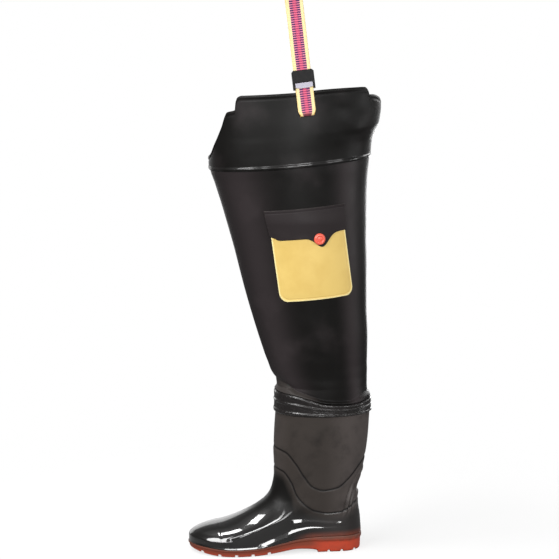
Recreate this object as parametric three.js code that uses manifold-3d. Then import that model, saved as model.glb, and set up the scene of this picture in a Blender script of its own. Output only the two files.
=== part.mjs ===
// Left hip wader in moulded and welded PVC: red outsole, black boot, sheet leg, hip panel, pocket, strap.
// Millimetres, +Z up, toe along -Y, the left leg's outer side along +X, origin on the floor under the heel.
import * as THREE from "three";
import { mergeVertices } from "three/addons/utils/BufferGeometryUtils.js";
import Module from "manifold-3d";

// Foot and sole
const soleLength = 310;
const ballWidth = 106;
const heelWidth = 72;
const heelBack = 38; // how far the sole reaches behind the origin
const heelHeight = 29;
const foreHeight = 13;
const toeSpring = 8;
const archRise = 8;
const heelBreast = 80; // length of the heel block
const toeRound = 66; // length of the rounded toe in plan
const heelRound = 36;
const toeShift = 11; // how far the tip of the toe lies towards the inner side
const soleLip = 1.4; // the sole's upper edge beyond the boot
const sideStep = 1.6; // step under that edge
const lugDepth = 4;
const lugGroove = 6;
const lugPitch = 30;
const heelLugPitch = 24;
const spineWidth = 18; // uncut strip along the middle of the tread

// Boot
const bootHeight = 255; // floor to the lower line of the band
const shaftDepth = 169;
const shaftWidth = 132;
const bootWall = 3;
const beadRise = 1.6;
const toeCapLength = 55;
const capStep = 0.9;

// Band, leg and hip panel
const bandHeight = 39; // at the shin
const bandThick = 2.2;
const bandRib = 1.2;
const legWall = 1.2;
const legTuck = 17; // how far the leg's hem reaches down inside the boot
const seamHeight = 705;
const seamTilt = 0.08;
const hipDepth = 281;
const hipWidth = 222;
const panelWall = 1.5;
const panelRise = 107; // seam to the panel's rim on the outer side
const hemHeight = 7;
const hemRib = 1.1;
const hemBelow = 0.7; // share of the hem that lies below the seam

// Pocket, flap and snap
const pocketWidth = 128;
const pocketDepth = 131;
const pocketWall = 1.6;
const pocketBulge = 2.2;
const pocketCorner = 16;
const flapWidth = 141;
const flapDepth = 46;
const flapWall = 1.4;
const flapPoint = 23;
const flapEase = 1.5; // the flap's lower edge beyond the pocket, on each side
const snapDiameter = 20;
const snapHeight = 4.5;
const snapY = -51;
const snapZ = 578;

// Strap and buckle
const strapWidth = 30;
const strapThick = 1.8;
const strapClear = 1.3; // beside the curved panel
const strapPlace = -73; // along the foot, at the slot
const slotDrop = 38; // below the top of the tab
const slotHeight = 7;
const slotEase = 2; // beside the strap, at each end of the slot
const strapReach = 145; // above the tab, to the sewn end of the belt loop
const loopHeight = 62;
const strapLean = -0.12;
const buckleWidth = 38;
const buckleHeight = 33;
const buckleThick = 5;
const buckleRise = 4; // the buckle's foot above the top of the tab
const buckleChamfer = 3;
const barShare = 0.37; // the bar's top edge as a share of the buckle's height
const barLow = 2.2; // its lower edge above the buckle's foot
const barProud = 0.6; // the bar's face before the buckle's

const insoleThick = 4;
const insoleEase = 3; // between the insole's edge and the boot's wall
const gap = 0.3; // between pieces that touch
const skinGap = 0.4; // between a patch and the sheet that it is welded on

const sides = 48; // facets round the boot and the leg

const mix = (a, b, t) => a + (b - a) * t;
const clamp = (t) => Math.min(1, Math.max(0, t));
const soft = (t) => clamp(t) ** 2 * (3 - 2 * clamp(t));

// The columns of a table at a key, each on a smooth monotone curve through its rows
function lookup(rows, key, at) {
  const last = rows.length - 1;
  let i = 0;
  while (i < last - 1 && rows[i + 1][key] < at) i += 1;
  const [p, a, b, q] = [rows[Math.max(0, i - 1)], rows[i], rows[i + 1], rows[Math.min(last, i + 2)]];
  const t = clamp((at - a[key]) / (b[key] - a[key]));
  const span = b[key] - a[key];
  const found = {};
  for (const name of Object.keys(a)) {
    const slope = (b[name] - a[name]) / span;
    const before = p === a ? slope : (a[name] - p[name]) / (a[key] - p[key]);
    const after = q === b ? slope : (q[name] - b[name]) / (q[key] - b[key]);
    const m0 = before * slope > 0 ? (2 * before * slope) / (before + slope) : 0;
    const m1 = after * slope > 0 ? (2 * after * slope) / (after + slope) : 0;
    const t2 = t * t;
    const t3 = t2 * t;
    found[name] =
      (2 * t3 - 3 * t2 + 1) * a[name] +
      (t3 - 2 * t2 + t) * span * m0 +
      (3 * t2 - 2 * t3) * b[name] +
      (t3 - t2) * span * m1;
  }
  return found;
}

// Quarter of a round end: 0 at the tip, 1 at its full width
const roundness = 2.15;
function quarter(share) {
  return (1 - (1 - clamp(share)) ** roundness) ** (1 / roundness);
}

// The last in plan, before its ends are rounded: half widths as shares of the ball's width
const lastPlan = [
  { along: 0.0, outer: 0.305, inner: 0.3 },
  { along: 0.12, outer: 0.33, inner: 0.315 },
  { along: 0.27, outer: 0.345, inner: 0.32 },
  { along: 0.4, outer: 0.385, inner: 0.3 },
  { along: 0.5, outer: 0.43, inner: 0.33 },
  { along: 0.62, outer: 0.48, inner: 0.42 },
  { along: 0.72, outer: 0.505, inner: 0.485 },
  { along: 0.82, outer: 0.48, inner: 0.515 },
  { along: 0.91, outer: 0.43, inner: 0.52 },
  { along: 1.0, outer: 0.37, inner: 0.52 },
];

// The sole from the side: its under side and its toe's lift as shares of the arch's rise and the toe spring,
// its top edge as a share of the heel's height, drawn in to the forefoot's further ahead
const soleSide = [
  { along: 0.0, under: 0, tip: 0, top: 1.0 },
  { along: 0.2, under: 0, tip: 0, top: 1.0 },
  { along: 0.3, under: 0.8, tip: 0, top: 0.98 },
  { along: 0.38, under: 1.0, tip: 0, top: 0.9 },
  { along: 0.48, under: 0.55, tip: 0, top: 0.72 },
  { along: 0.58, under: 0.12, tip: 0, top: 0.53 },
  { along: 0.64, under: 0, tip: 0, top: 0.47 },
  { along: 0.76, under: 0, tip: 0, top: 0.45 },
  { along: 0.84, under: 0, tip: 0.14, top: 0.5 },
  { along: 0.92, under: 0, tip: 0.45, top: 0.57 },
  { along: 1.0, under: 0, tip: 1.0, top: 0.59 },
];

const ballPlace = 0.72; // the ball's share of the sole's length
const alongFoot = (y) => (heelBack - y) / soleLength;
const footPlace = (along) => heelBack - along * soleLength;
const centreLine = (along) => -toeShift * soft((along - 0.35) / 0.65);

function soleTop(along) {
  const side = lookup(soleSide, "along", clamp(along));
  const fore = foreHeight / lookup(soleSide, "along", ballPlace).top;
  return side.top * mix(heelHeight, fore, soft((along - 0.3) / 0.4));
}

const breast = heelBreast / soleLength;

function soleUnder(along) {
  const side = lookup(soleSide, "along", clamp(along));
  return along <= breast ? 0 : side.under * archRise + side.tip * toeSpring;
}

// Half width of the last on one side (+1 outer, -1 inner), with the heel's own width
function lastWidth(along, side) {
  const row = lookup(lastPlan, "along", clamp(along));
  const share = side > 0 ? row.outer : row.inner;
  const heelRow = lastPlan[2];
  const heelShare = heelWidth / ballWidth / (heelRow.outer + heelRow.inner);
  return share * ballWidth * mix(heelShare, 1, soft(along / 0.55));
}

// A point of the last's outline let out by grow, at a share of the length from the heel, on one side
function footOutline(along, side, grow) {
  const length = soleLength + 2 * grow;
  const toe = quarter(((1 - along) * length) / (toeRound + grow));
  const heel = quarter((along * length) / (heelRound + grow));
  const middle = centreLine(along);
  const reach = side * (lastWidth(along, side) + grow) - middle;
  return { x: middle + reach * toe * heel, y: heelBack + grow - along * length };
}

// Boot rings from the sole's edge to the band: places along the foot and heights of the back and the front as
// shares of the sole's length and the boot's height, own half width as a share of the shaft's, plan (1 = the
// last's outline, 0 = the shaft's), the rounding of both ends as shares of the shaft's depth, and how far the
// ring follows the sole's edge
const ringNames = ["level", "back", "backUp", "front", "frontUp", "wide", "plan", "nose", "heel", "hug"];
const bootRings = [
  [0, 0.003, 0.116, 0.994, 0.066, 0.7, 1, 0.39, 0.215, 1],
  [1, 0.002, 0.135, 0.997, 0.085, 0.7, 1, 0.39, 0.215, 1],
  [2, 0.003, 0.155, 0.997, 0.107, 0.7, 1, 0.4, 0.215, 0.95],
  [3, 0.005, 0.185, 0.982, 0.132, 0.7, 0.96, 0.45, 0.215, 0.8],
  [4, 0.007, 0.22, 0.945, 0.157, 0.7, 0.9, 0.52, 0.22, 0.6],
  [5, 0.01, 0.255, 0.888, 0.184, 0.7, 0.8, 0.6, 0.23, 0.45],
  [6, 0.015, 0.29, 0.828, 0.208, 0.7, 0.7, 0.67, 0.24, 0.3],
  [7, 0.019, 0.325, 0.766, 0.236, 0.7, 0.58, 0.72, 0.255, 0.18],
  [8, 0.02, 0.36, 0.69, 0.275, 0.71, 0.45, 0.74, 0.28, 0.08],
  [9, 0.024, 0.4, 0.61, 0.325, 0.72, 0.3, 0.7, 0.31, 0],
  [10, 0.026, 0.44, 0.556, 0.37, 0.73, 0.18, 0.63, 0.35, 0],
  [11, 0.023, 0.475, 0.527, 0.415, 0.74, 0.08, 0.55, 0.39, 0],
  [12, 0.013, 0.515, 0.512, 0.468, 0.755, 0, 0.51, 0.43, 0],
  [13, -0.004, 0.575, 0.503, 0.545, 0.79, 0, 0.49, 0.47, 0],
  [14, -0.019, 0.65, 0.505, 0.63, 0.835, 0, 0.48, 0.49, 0],
  [15, -0.032, 0.74, 0.508, 0.73, 0.89, 0, 0.48, 0.5, 0],
  [16, -0.041, 0.85, 0.505, 0.85, 0.945, 0, 0.49, 0.5, 0],
  [17, -0.048, 1.0, 0.497, 1.0, 1, 0, 0.5, 0.5, 0],
].map((row) => Object.fromEntries(ringNames.map((name, i) => [name, row[i]])));
const bandLevel = bootRings.length - 1;
const firstRing = bootRings[0];
const lastRing = bootRings[bandLevel];

// The band's height round the shaft, back to shin, as shares of its height at the shin
const bandLine = [
  { along: 0.0, rise: 0.62 },
  { along: 0.25, rise: 0.5 },
  { along: 0.5, rise: 0.56 },
  { along: 0.66, rise: 0.74 },
  { along: 0.82, rise: 0.92 },
  { along: 1.0, rise: 1.0 },
];

// Side and share from back to front for a turn: 0 is the back, a half the front, over the outer side
function halfTurn(turn) {
  const side = turn <= 0.5 ? 1 : -1;
  const share = turn <= 0.5 ? turn * 2 : 2 - turn * 2;
  return { side, along: (1 - Math.cos(share * Math.PI)) / 2 };
}

// The boot's outer skin: turn round it, level up the rings, and above the last ring by rise in mm
function bootSkin(turn, level, rise = 0) {
  const ring = lookup(bootRings, "level", level);
  const { side, along } = halfTurn(turn);
  const shaft = soft((level - 9) / 6);
  const deep = mix(1, shaftDepth / (lastRing.front - lastRing.back) / soleLength, shaft);
  const axis = footPlace((lastRing.front + lastRing.back) / 2);
  const back = axis + (footPlace(ring.back) - axis) * deep;
  const front = axis + (footPlace(ring.front) - axis) * deep;
  const y = mix(back, front, along);
  const foot = alongFoot(y);
  const base = mix(soleTop(alongFoot(back)), soleTop(alongFoot(front)), along);
  const lift = mix(ring.backUp - firstRing.backUp, ring.frontUp - firstRing.frontUp, along);
  const reach = (bootHeight - base - gap) / mix(1 - firstRing.backUp, 1 - firstRing.frontUp, along);
  const z = base + gap + lift * reach + ring.hug * (soleTop(foot) - base) + rise;
  const nose = quarter((y - front) / (ring.nose * shaftDepth));
  const heel = quarter((back - y) / (ring.heel * shaftDepth));
  const middle = centreLine(foot) * (1 - soft((level - 9) / 4));
  const width = mix((ring.wide * shaftWidth) / 2, lastWidth(foot, side), ring.plan);
  const bead = beadRise * soft(level / 0.8) * soft((2.6 - level) / 0.9);
  const cap = capStep * soft((foot - 1 + toeCapLength / soleLength) * 80) * soft((level - 1.8) * 2);
  const x = middle + (side * (width + bead) - middle) * nose * heel;
  return new THREE.Vector3(x, y + bead * (1 - 2 * along) * (1 - nose * heel), z + cap);
}

// Moves a skin's point out (or in, below zero) along the skin's own normal
function offsetSkin(skin, turn, level, by, flat = false) {
  const step = 0.004;
  const here = skin(turn, level);
  const around = skin((turn + step) % 1, level).sub(skin((turn - step + 1) % 1, level));
  const up = skin(turn, level + 0.05).sub(skin(turn, level - 0.05));
  const normal = up.cross(around);
  if (flat) normal.z = 0;
  return here.add(normal.normalize().multiplyScalar(by));
}

// A mesh from vertices and triangles
function geometryOf(points, triangles) {
  const geometry = new THREE.BufferGeometry();
  const numbers = points.flatMap((p) => p.toArray());
  geometry.setAttribute("position", new THREE.Float32BufferAttribute(numbers, 3));
  geometry.setIndex(triangles.flat());
  return geometry;
}

// Closed body between rings of points: joins each ring to the next, and the last to the first
function ringBody(rings) {
  const columns = rings[0].length;
  const points = rings.flat();
  const triangles = [];
  rings.forEach((_, r) => {
    const next = (r + 1) % rings.length;
    for (let c = 0; c < columns; c += 1) {
      const [a, b] = [r * columns + c, r * columns + ((c + 1) % columns)];
      const [d, e] = [next * columns + c, next * columns + ((c + 1) % columns)];
      triangles.push([a, d, b], [b, d, e]);
    }
  });
  return geometryOf(points, triangles);
}

// A wall: outer rings up, inner rings down
const wall = (outer, inner) => ringBody([...outer, ...inner.slice().reverse()]);

const turns = Array.from({ length: sides }, (_, i) => i / sides);

// Height of the band over its lower line
function bandRise(turn) {
  return lookup(bandLine, "along", halfTurn(turn).along).rise * bandHeight;
}

function bootGeometry() {
  const levels = [0, 0.6, 1.2, 2, 2.6];
  for (let level = 3; level <= bandLevel; level += 1) levels.push(level);
  const outer = levels.map((level) => turns.map((turn) => bootSkin(turn, level)));
  const inner = levels.map((level) =>
    turns.map((turn) => offsetSkin(bootSkin, turn, Math.max(level, 0.06), -bootWall, level < 1)),
  );
  inner[0].forEach((p, i) => p.setZ(outer[0][i].z));
  const collar = turns.map((turn) => bootHeight + bandRise(turn) - bandThick);
  outer.push(shaftRing(0, collar));
  inner.push(shaftRing(-bootWall, collar));
  return wall(outer, inner);
}

// A ring let out from the top of the boot, at the heights given for its columns
function shaftRing(by, heights) {
  return turns.map((turn, i) => offsetSkin(bootSkin, turn, bandLevel, by, true).setZ(heights[i]));
}

// The welded band: its section up the shaft, height and thickness as shares, with two raised ribs
const bandSection = [
  { up: 0, out: 0.4, rib: 0 },
  { up: 0.05, out: 1, rib: 0.7 },
  { up: 0.13, out: 1, rib: 1 },
  { up: 0.24, out: 1, rib: 0 },
  { up: 0.48, out: 0.95, rib: 0 },
  { up: 0.56, out: 1, rib: 0.9 },
  { up: 0.66, out: 0.9, rib: 0 },
  { up: 0.9, out: 0.95, rib: 0.1 },
  { up: 1, out: 0.5, rib: 0 },
];

function bandGeometry() {
  const heights = (up) => turns.map((turn) => bootHeight + up * bandRise(turn));
  const outer = bandSection.map((s) => shaftRing(gap + s.out * bandThick + s.rib * bandRib, heights(s.up)));
  return wall(outer, [shaftRing(gap, heights(0)), shaftRing(gap, heights(1))]);
}

// Leg and hip rings: up from boot top (0) to seam (1) and beyond, ends as shares of the hip's depth from the
// hip's middle, width as a share of the hip's, and how much of the seam's tilt the ring has
const legRings = [
  { up: 0.107, front: -0.055, back: 0.492, wide: 0.575, tilt: 0 },
  { up: 0.164, front: -0.116, back: 0.493, wide: 0.6, tilt: 0.1 },
  { up: 0.278, front: -0.18, back: 0.493, wide: 0.67, tilt: 0.3 },
  { up: 0.438, front: -0.258, back: 0.486, wide: 0.755, tilt: 0.6 },
  { up: 0.571, front: -0.311, back: 0.486, wide: 0.82, tilt: 0.8 },
  { up: 0.696, front: -0.361, back: 0.484, wide: 0.88, tilt: 0.9 },
  { up: 0.838, front: -0.422, back: 0.482, wide: 0.94, tilt: 1 },
  { up: 0.931, front: -0.468, back: 0.489, wide: 0.975, tilt: 1 },
  { up: 1, front: -0.5, back: 0.5, wide: 1, tilt: 1 },
  { up: 1.055, front: -0.502, back: 0.507, wide: 1.008, tilt: 1 },
  { up: 1.09, front: -0.502, back: 0.527, wide: 1.013, tilt: 1 },
  { up: 1.12, front: -0.501, back: 0.551, wide: 1.016, tilt: 1 },
  { up: 1.17, front: -0.5, back: 0.561, wide: 1.02, tilt: 1 },
  { up: 1.3, front: -0.495, back: 0.557, wide: 1.02, tilt: 1 },
];
const hipMiddle = footPlace(0.4145);

// The leg's outer skin, carried on over the hip: turn round it and share of the height up to the seam
function legSkin(turn, up) {
  const ring = lookup(legRings, "up", up);
  const { side, along } = halfTurn(turn);
  const back = hipMiddle + ring.back * hipDepth;
  const front = hipMiddle + ring.front * hipDepth;
  const y = mix(back, front, along);
  const tilt = ring.tilt * seamTilt * (y - hipMiddle);
  const x = (side * ring.wide * hipWidth * Math.sin(Math.acos(1 - 2 * along))) / 2;
  return new THREE.Vector3(x, y, bootHeight + up * (seamHeight - bootHeight) + tilt);
}

// Share of the leg's height at which a column of its skin passes a height
function upAt(turn, z) {
  let up = (z - bootHeight) / (seamHeight - bootHeight);
  for (let i = 0; i < 4; i += 1) up += (z - legSkin(turn, up).z) / (seamHeight - bootHeight);
  return up;
}

// A point over the leg's outer side at a place along the foot and a height
function onLeg(y, z, by) {
  let turn = 0.25;
  let up = upAt(turn, z);
  for (let i = 0; i < 5; i += 1) {
    const [back, front] = [legSkin(0, up).y, legSkin(0.5, up).y];
    turn = Math.acos(1 - (2 * (back - y)) / (back - front)) / (2 * Math.PI);
    up = upAt(turn, z);
  }
  return offsetSkin(legSkin, turn, up, by);
}

function legGeometry() {
  const tuck = (by, drop) => shaftRing(by, turns.map((turn) => bootHeight + bandRise(turn) - drop));
  const ups = legRings.map((ring) => ring.up).filter((up) => up < 1);
  ups.push(1 - hemHeight / (seamHeight - bootHeight), 1);
  const outline = (by) => [
    ...[legTuck, bandThick].map((drop) => tuck(by - bootWall - gap, drop)),
    ...ups.map((up) => turns.map((turn) => offsetSkin(legSkin, turn, up, by))),
  ];
  return wall(outline(0), outline(-legWall));
}

// The hip panel's rim: angle from the back over the outer side (below zero the inner side), and height over the
// seam as a share of the panel's rise; the tab for the strap stands between its two steps
const rimLine = [
  { angle: -180, rise: 0.17 },
  { angle: -60, rise: 0.16 },
  { angle: -45, rise: 0.18 },
  { angle: -28, rise: 0.27 },
  { angle: -12, rise: 0.54 },
  { angle: 0, rise: 0.754 },
  { angle: 5, rise: 0.825 },
  { angle: 10, rise: 0.885 },
  { angle: 15, rise: 0.927 },
  { angle: 20, rise: 0.955 },
  { angle: 25, rise: 0.983 },
  { angle: 30, rise: 1.002 },
  { angle: 36, rise: 1.016 },
  { angle: 36.4, rise: 1.06 },
  { angle: 37.6, rise: 1.1 },
  { angle: 40.4, rise: 1.14 },
  { angle: 46, rise: 1.152 },
  { angle: 76.5, rise: 1.178 },
  { angle: 95.5, rise: 1.165 },
  { angle: 132.3, rise: 1.17 },
  { angle: 135.6, rise: 1.145 },
  { angle: 137, rise: 1.09 },
  { angle: 137.8, rise: 0.945 },
  { angle: 145.5, rise: 0.91 },
  { angle: 152, rise: 0.66 },
  { angle: 160, rise: 0.43 },
  { angle: 170, rise: 0.235 },
  { angle: 180, rise: 0.17 },
];

function rimRise(angle) {
  const at = rimLine.findIndex((row) => row.angle >= angle);
  const [a, b] = [rimLine[Math.max(0, at - 1)], rimLine[Math.max(1, at)]];
  return mix(a.rise, b.rise, (angle - a.angle) / (b.angle - a.angle)) * panelRise;
}

const turnOf = (angle) => (angle >= 0 ? angle : 360 + angle) / 360;
const seamAt = (turn) => legSkin(turn, 1).z;

function panelGeometry() {
  const step = 360 / sides;
  const even = turns.map((turn) => turn * 360).map((angle) => (angle > 180 ? angle - 360 : angle));
  const offStep = (angle) => Math.abs(angle / step - Math.round(angle / step)) > 0.05;
  const extra = rimLine.map((row) => row.angle).filter(offStep);
  const columns = [...even, ...extra].map((angle) => ({ angle, turn: turnOf(angle) }));
  columns.sort((a, b) => a.turn - b.turn);
  const ring = (by, height) =>
    columns.map(({ angle, turn }) => {
      const z = seamAt(turn) + height(rimRise(angle));
      return offsetSkin(legSkin, turn, upAt(turn, z), gap + by);
    });
  const foot = -hemHeight * hemBelow;
  const top = foot + hemHeight;
  const outer = [
    ring(panelWall / 2, () => foot),
    ring(panelWall + hemRib, () => mix(foot, top, 0.25)),
    ring(panelWall + hemRib, () => mix(foot, top, 0.7)),
    ring(panelWall, () => top),
    ...[0.3, 0.65, 1].map((share) => ring(panelWall, (rise) => mix(top, rise, share))),
  ];
  const inner = [ring(0, () => foot), ...[0, 0.5, 1].map((share) => ring(0, (rise) => rise * share))];
  const through = 20 * panelWall;
  const slot = new THREE.BoxGeometry(through, strapWidth + 2 * slotEase, slotHeight).toNonIndexed();
  slot.rotateX(Math.atan(-strapLean));
  slot.translate(strapFoot.x, strapFoot.y, strapFoot.z);
  return cutAway(wall(outer, inner), slot);
}

// Closed body through loops of points, its two ends capped by strips: point i faces point (n - shift - i)
function loftBody(loops, shift) {
  const n = loops[0].length;
  const triangles = [];
  for (let r = 0; r + 1 < loops.length; r += 1)
    for (let c = 0; c < n; c += 1) {
      const [a, b] = [r * n + c, r * n + ((c + 1) % n)];
      triangles.push([a, a + n, b], [b, a + n, b + n]);
    }
  for (const [base, out] of [[0, false], [(loops.length - 1) * n, true]])
    for (let i = 0; i < Math.floor(n / 2); i += 1) {
      const [a, b] = [i, (i + 1) % n];
      const [d, e] = [(2 * n - shift - i) % n, (2 * n - shift - i - 1) % n];
      for (const [p, q, s] of [[a, b, e], [a, e, d]]) {
        const corners = out ? [p, s, q] : [p, q, s];
        if (p !== q && q !== s && p !== s) triangles.push(corners.map((corner) => base + corner));
      }
    }
  return geometryOf(loops.flat(), triangles);
}

// A sheet piece on the leg's outer side: rows of places from the top, each place with its lift off the leg
function patchBody(rows, thick) {
  const loops = rows.reverse().map((row) => {
    const face = (by) => row.map(({ y, z, lift }) => onLeg(y, z, lift + by));
    return [...face(thick), ...face(0).reverse()];
  });
  return loftBody(loops, 1);
}

// Pocket and flap: where they lie on the leg
const pocketTop = 600;
const pocketMiddle = -70;
const patchLean = 0.15; // the pocket's sides follow the lean of the leg
const flapHang = 631;
const shares = (n) => Array.from({ length: n + 1 }, (_, i) => i / n);
const cosine = (n) => shares(n).map((t) => (1 - Math.cos(t * Math.PI)) / 2);

// How far the pocket's sheet stands off the leg
function pocketLift(y, z) {
  const across = (y - pocketMiddle - patchLean * (pocketTop - z)) / (pocketWidth / 2);
  const down = clamp((pocketTop - z) / pocketDepth);
  return skinGap + pocketBulge * Math.max(0, 1 - across ** 2) * (1 - down ** 3);
}

function pocketGeometry() {
  const downs = [0, 0.25, 0.5, 0.75, 0.88, 0.94, 0.98, 1];
  return patchBody(
    downs.map((down) => {
      const fromBottom = (1 - down) * pocketDepth;
      const inset = pocketCorner * (1 - quarter(fromBottom / pocketCorner + 0.03));
      return cosine(12).map((share) => {
        const width = pocketWidth - 2 * inset;
        const middle = pocketMiddle + patchLean * down * pocketDepth;
        const y = middle + (0.5 - share) * width;
        const z = pocketTop - down * pocketDepth + seamTilt * (y - middle);
        return { y, z, lift: pocketLift(y, z) };
      });
    }),
    pocketWall,
  );
}

// The flap's lower edge hangs in a wave down to the point that carries the snap
const snapShare = 0.35; // from the back edge of the flap
function flapDrop(share) {
  const point = Math.exp(-(((share - snapShare) / 0.12) ** 2));
  const wave = 0.3 * soft((share - 0.3) * 3) * soft((1 - share) * 8);
  return flapPoint * (point + wave);
}

function flapGeometry() {
  const middle = pocketMiddle - patchLean * (flapHang - pocketTop);
  return patchBody(
    [0, 0.2, 0.4, 0.6, 0.8, 1].map((down) =>
      shares(18).map((share) => {
        const drop = down * (flapDepth + flapDrop(share));
        const width = mix(flapWidth, pocketWidth + 2 * flapEase, down);
        const y = middle + patchLean * drop + (0.5 - share) * width;
        const z = flapHang - drop + seamTilt * (y - middle);
        const over = soft((flapHang - z + 2) / (flapHang - pocketTop));
        return { y, z, lift: mix(skinGap, pocketLift(y, z) + pocketWall + gap, over) };
      }),
    ),
    flapWall,
  );
}

// The snap: a low dome with a pressed ring, turned about the line that stands out of the leg
function snapGeometry() {
  const r = snapDiameter / 2;
  const h = snapHeight;
  const profile = [[0, 0], [0.9, 0], [1, 0.35], [0.92, 0.75], [0.7, 1], [0.55, 0.8], [0, 0.9]];
  const dome = new THREE.LatheGeometry(profile.map(([x, y]) => new THREE.Vector2(x * r, y * h)), 24);
  const seat = onLeg(snapY, snapZ, pocketLift(snapY, snapZ) + pocketWall + flapWall + 2.5 * gap);
  const out = seat.clone().sub(onLeg(snapY, snapZ, 0)).normalize();
  dome.applyQuaternion(new THREE.Quaternion().setFromUnitVectors(new THREE.Vector3(0, 1, 0), out));
  return dome.translate(seat.x, seat.y, seat.z);
}

// The strap's own frame: on the panel's middle surface at the slot, leaning with the strap
const tabTop = seamHeight + 1.178 * panelRise;
const strapFoot = onLeg(strapPlace, tabTop - slotDrop, gap + panelWall / 2);
const tabPoint = onLeg(strapPlace + strapLean * slotDrop, tabTop, gap + panelWall / 2);
const panelSlope = (tabPoint.x - strapFoot.x) / slotDrop;
const besideFoot = onLeg(strapPlace + strapWidth / 2, tabTop - slotDrop, gap + panelWall / 2);
const aheadOfFoot = onLeg(strapPlace - strapWidth / 2, tabTop - slotDrop, gap + panelWall / 2);
const panelTurn = (aheadOfFoot.x - besideFoot.x) / (besideFoot.y - aheadOfFoot.y);

// The strap's route in that frame: out from the panel, and up from the slot
const frontRun = panelWall / 2 + strapThick / 2 + strapClear;
const backRun = -frontRun;
const buckleFoot = slotDrop + buckleRise;
const barTop = buckleFoot + buckleHeight * barShare;
const sewn = slotDrop + strapReach;
const strapRoute = [
  [frontRun, barTop - 1],
  [frontRun, 20],
  [frontRun, 6],
  [frontRun * 0.97, 2.6],
  [frontRun * 0.6, 0.7],
  [0, 0],
  [backRun * 0.6, 0.7],
  [backRun * 0.97, 2.6],
  [backRun, 6],
  [backRun, 22],
  [backRun, slotDrop + 1],
  [-1.2, buckleFoot + 12],
  [-1, buckleFoot + buckleHeight],
  [-0.4, buckleFoot + buckleHeight + 30],
  [0.6, sewn - 40],
  [1.1, sewn - 12],
  [1.1, sewn],
  [2.6, sewn + loopHeight * 0.2],
  [6.5, sewn + loopHeight * 0.5],
  [6.5, sewn + loopHeight * 0.8],
  [3.8, sewn + loopHeight * 0.96],
  [0, sewn + loopHeight],
  [-3.8, sewn + loopHeight * 0.96],
  [-6.5, sewn + loopHeight * 0.8],
  [-6.5, sewn + loopHeight * 0.5],
  [-2.6, sewn + loopHeight * 0.2],
  [-1.1, sewn],
  [-1.1, sewn - 12],
];

// A flat band of webbing along a route, with its thickness set off square to the route
function strapGeometry() {
  const route = strapRoute.map(([x, z]) => new THREE.Vector2(x, z));
  const loops = route.map((p, i) => {
    const ahead = route[Math.min(i + 1, route.length - 1)];
    const behind = route[Math.max(i - 1, 0)];
    const way = ahead.clone().sub(behind).normalize();
    const off = new THREE.Vector2(way.y, -way.x).multiplyScalar(strapThick / 2);
    const w = strapWidth / 2;
    return [
      new THREE.Vector3(p.x + off.x, w, p.y + off.y),
      new THREE.Vector3(p.x + off.x, -w, p.y + off.y),
      new THREE.Vector3(p.x - off.x, -w, p.y - off.y),
      new THREE.Vector3(p.x - off.x, w, p.y - off.y),
    ];
  });
  return loftBody(loops, 1);
}

// The buckle: a block over the strap with two legs, and the flat bar between the legs
const legWide = (buckleWidth - strapWidth) / 2 - gap;
const buckleBack = -1 + strapThick / 2 + gap;

function buckleGeometry() {
  const shape = new THREE.Shape();
  const w = buckleWidth / 2;
  shape.moveTo(-w, 0);
  shape.lineTo(-w + legWide, 0);
  shape.lineTo(-w + legWide, barTop - buckleFoot);
  shape.lineTo(w - legWide, barTop - buckleFoot);
  shape.lineTo(w - legWide, 0);
  shape.lineTo(w, 0);
  shape.lineTo(w, buckleHeight - buckleChamfer);
  shape.lineTo(w - buckleChamfer, buckleHeight);
  shape.lineTo(-w + buckleChamfer, buckleHeight);
  shape.lineTo(-w, buckleHeight - buckleChamfer);
  const plate = new THREE.ExtrudeGeometry(shape, { depth: buckleThick, bevelEnabled: false });
  plate.rotateX(Math.PI / 2).rotateZ(Math.PI / 2);
  return plate.translate(buckleBack, 0, buckleFoot);
}

function barGeometry() {
  const height = barTop - buckleFoot - barLow - gap;
  const face = frontRun + strapThick / 2 + gap;
  const thick = buckleBack + buckleThick + barProud - face;
  const bar = new THREE.BoxGeometry(thick, strapWidth, height);
  return bar.translate(face + thick / 2, 0, buckleFoot + barLow + height / 2);
}

// Stations of the sole: close at its round ends, with one on each side of the heel's breast
const evenStations = cosine(24).filter((s) => Math.abs(s - breast) > 0.02);
const stations = [...evenStations, breast, breast + 0.004].sort((a, b) => a - b);

// A loop round the sole, let out by grow, at the heights given by up(along)
function soleLoop(grow, up) {
  const point = (along, side) => {
    const { x, y } = footOutline(along, side, grow);
    return new THREE.Vector3(x, y, up(along));
  };
  return [...stations.map((s) => point(s, 1)), ...stations.slice(1, -1).reverse().map((s) => point(s, -1))];
}

// The sole's side from the floor up: share of its height there, and how far it stands out
const soleSection = [
  { share: 0, out: -2.6 },
  { share: 0.1, out: -0.9 },
  { share: 0.66, out: -0.2 },
  { share: 0.72, out: 0 },
  { share: 0.8, out: 1 },
  { share: 1, out: 1 },
];

function outsoleGeometry() {
  const loops = soleSection.map(({ share, out }) => {
    const grow = out > 0 ? soleLip : soleLip - sideStep + out;
    return soleLoop(grow, (along) => mix(soleUnder(along), soleTop(along), share));
  });
  let body = loftBody(loops, 0);
  const grooves = [];
  const tread = (from, to, pitch) => {
    for (let s = from + pitch / 2; s < to; s += pitch) grooves.push(s);
  };
  tread(0, heelBreast - heelLugPitch / 3, heelLugPitch);
  tread(soleLength * 0.5, soleLength - lugPitch * 0.4, lugPitch);
  for (const place of grooves)
    for (const side of [1, -1]) {
      const groove = new THREE.BoxGeometry(ballWidth, lugGroove, 2 * lugDepth);
      const from = side * (spineWidth / 2 + ballWidth / 2) + centreLine(place / soleLength);
      groove.translate(from, heelBack - place, soleUnder(place / soleLength));
      body = cutAway(body, groove);
    }
  return body;
}

function insoleGeometry() {
  const grow = -(bootWall + insoleEase);
  const loop = (rise) => soleLoop(grow, (along) => soleTop(along) + rise);
  return loftBody([loop(gap), loop(gap + insoleThick)], 0);
}

const wasm = await Module();
wasm.setup();

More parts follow.
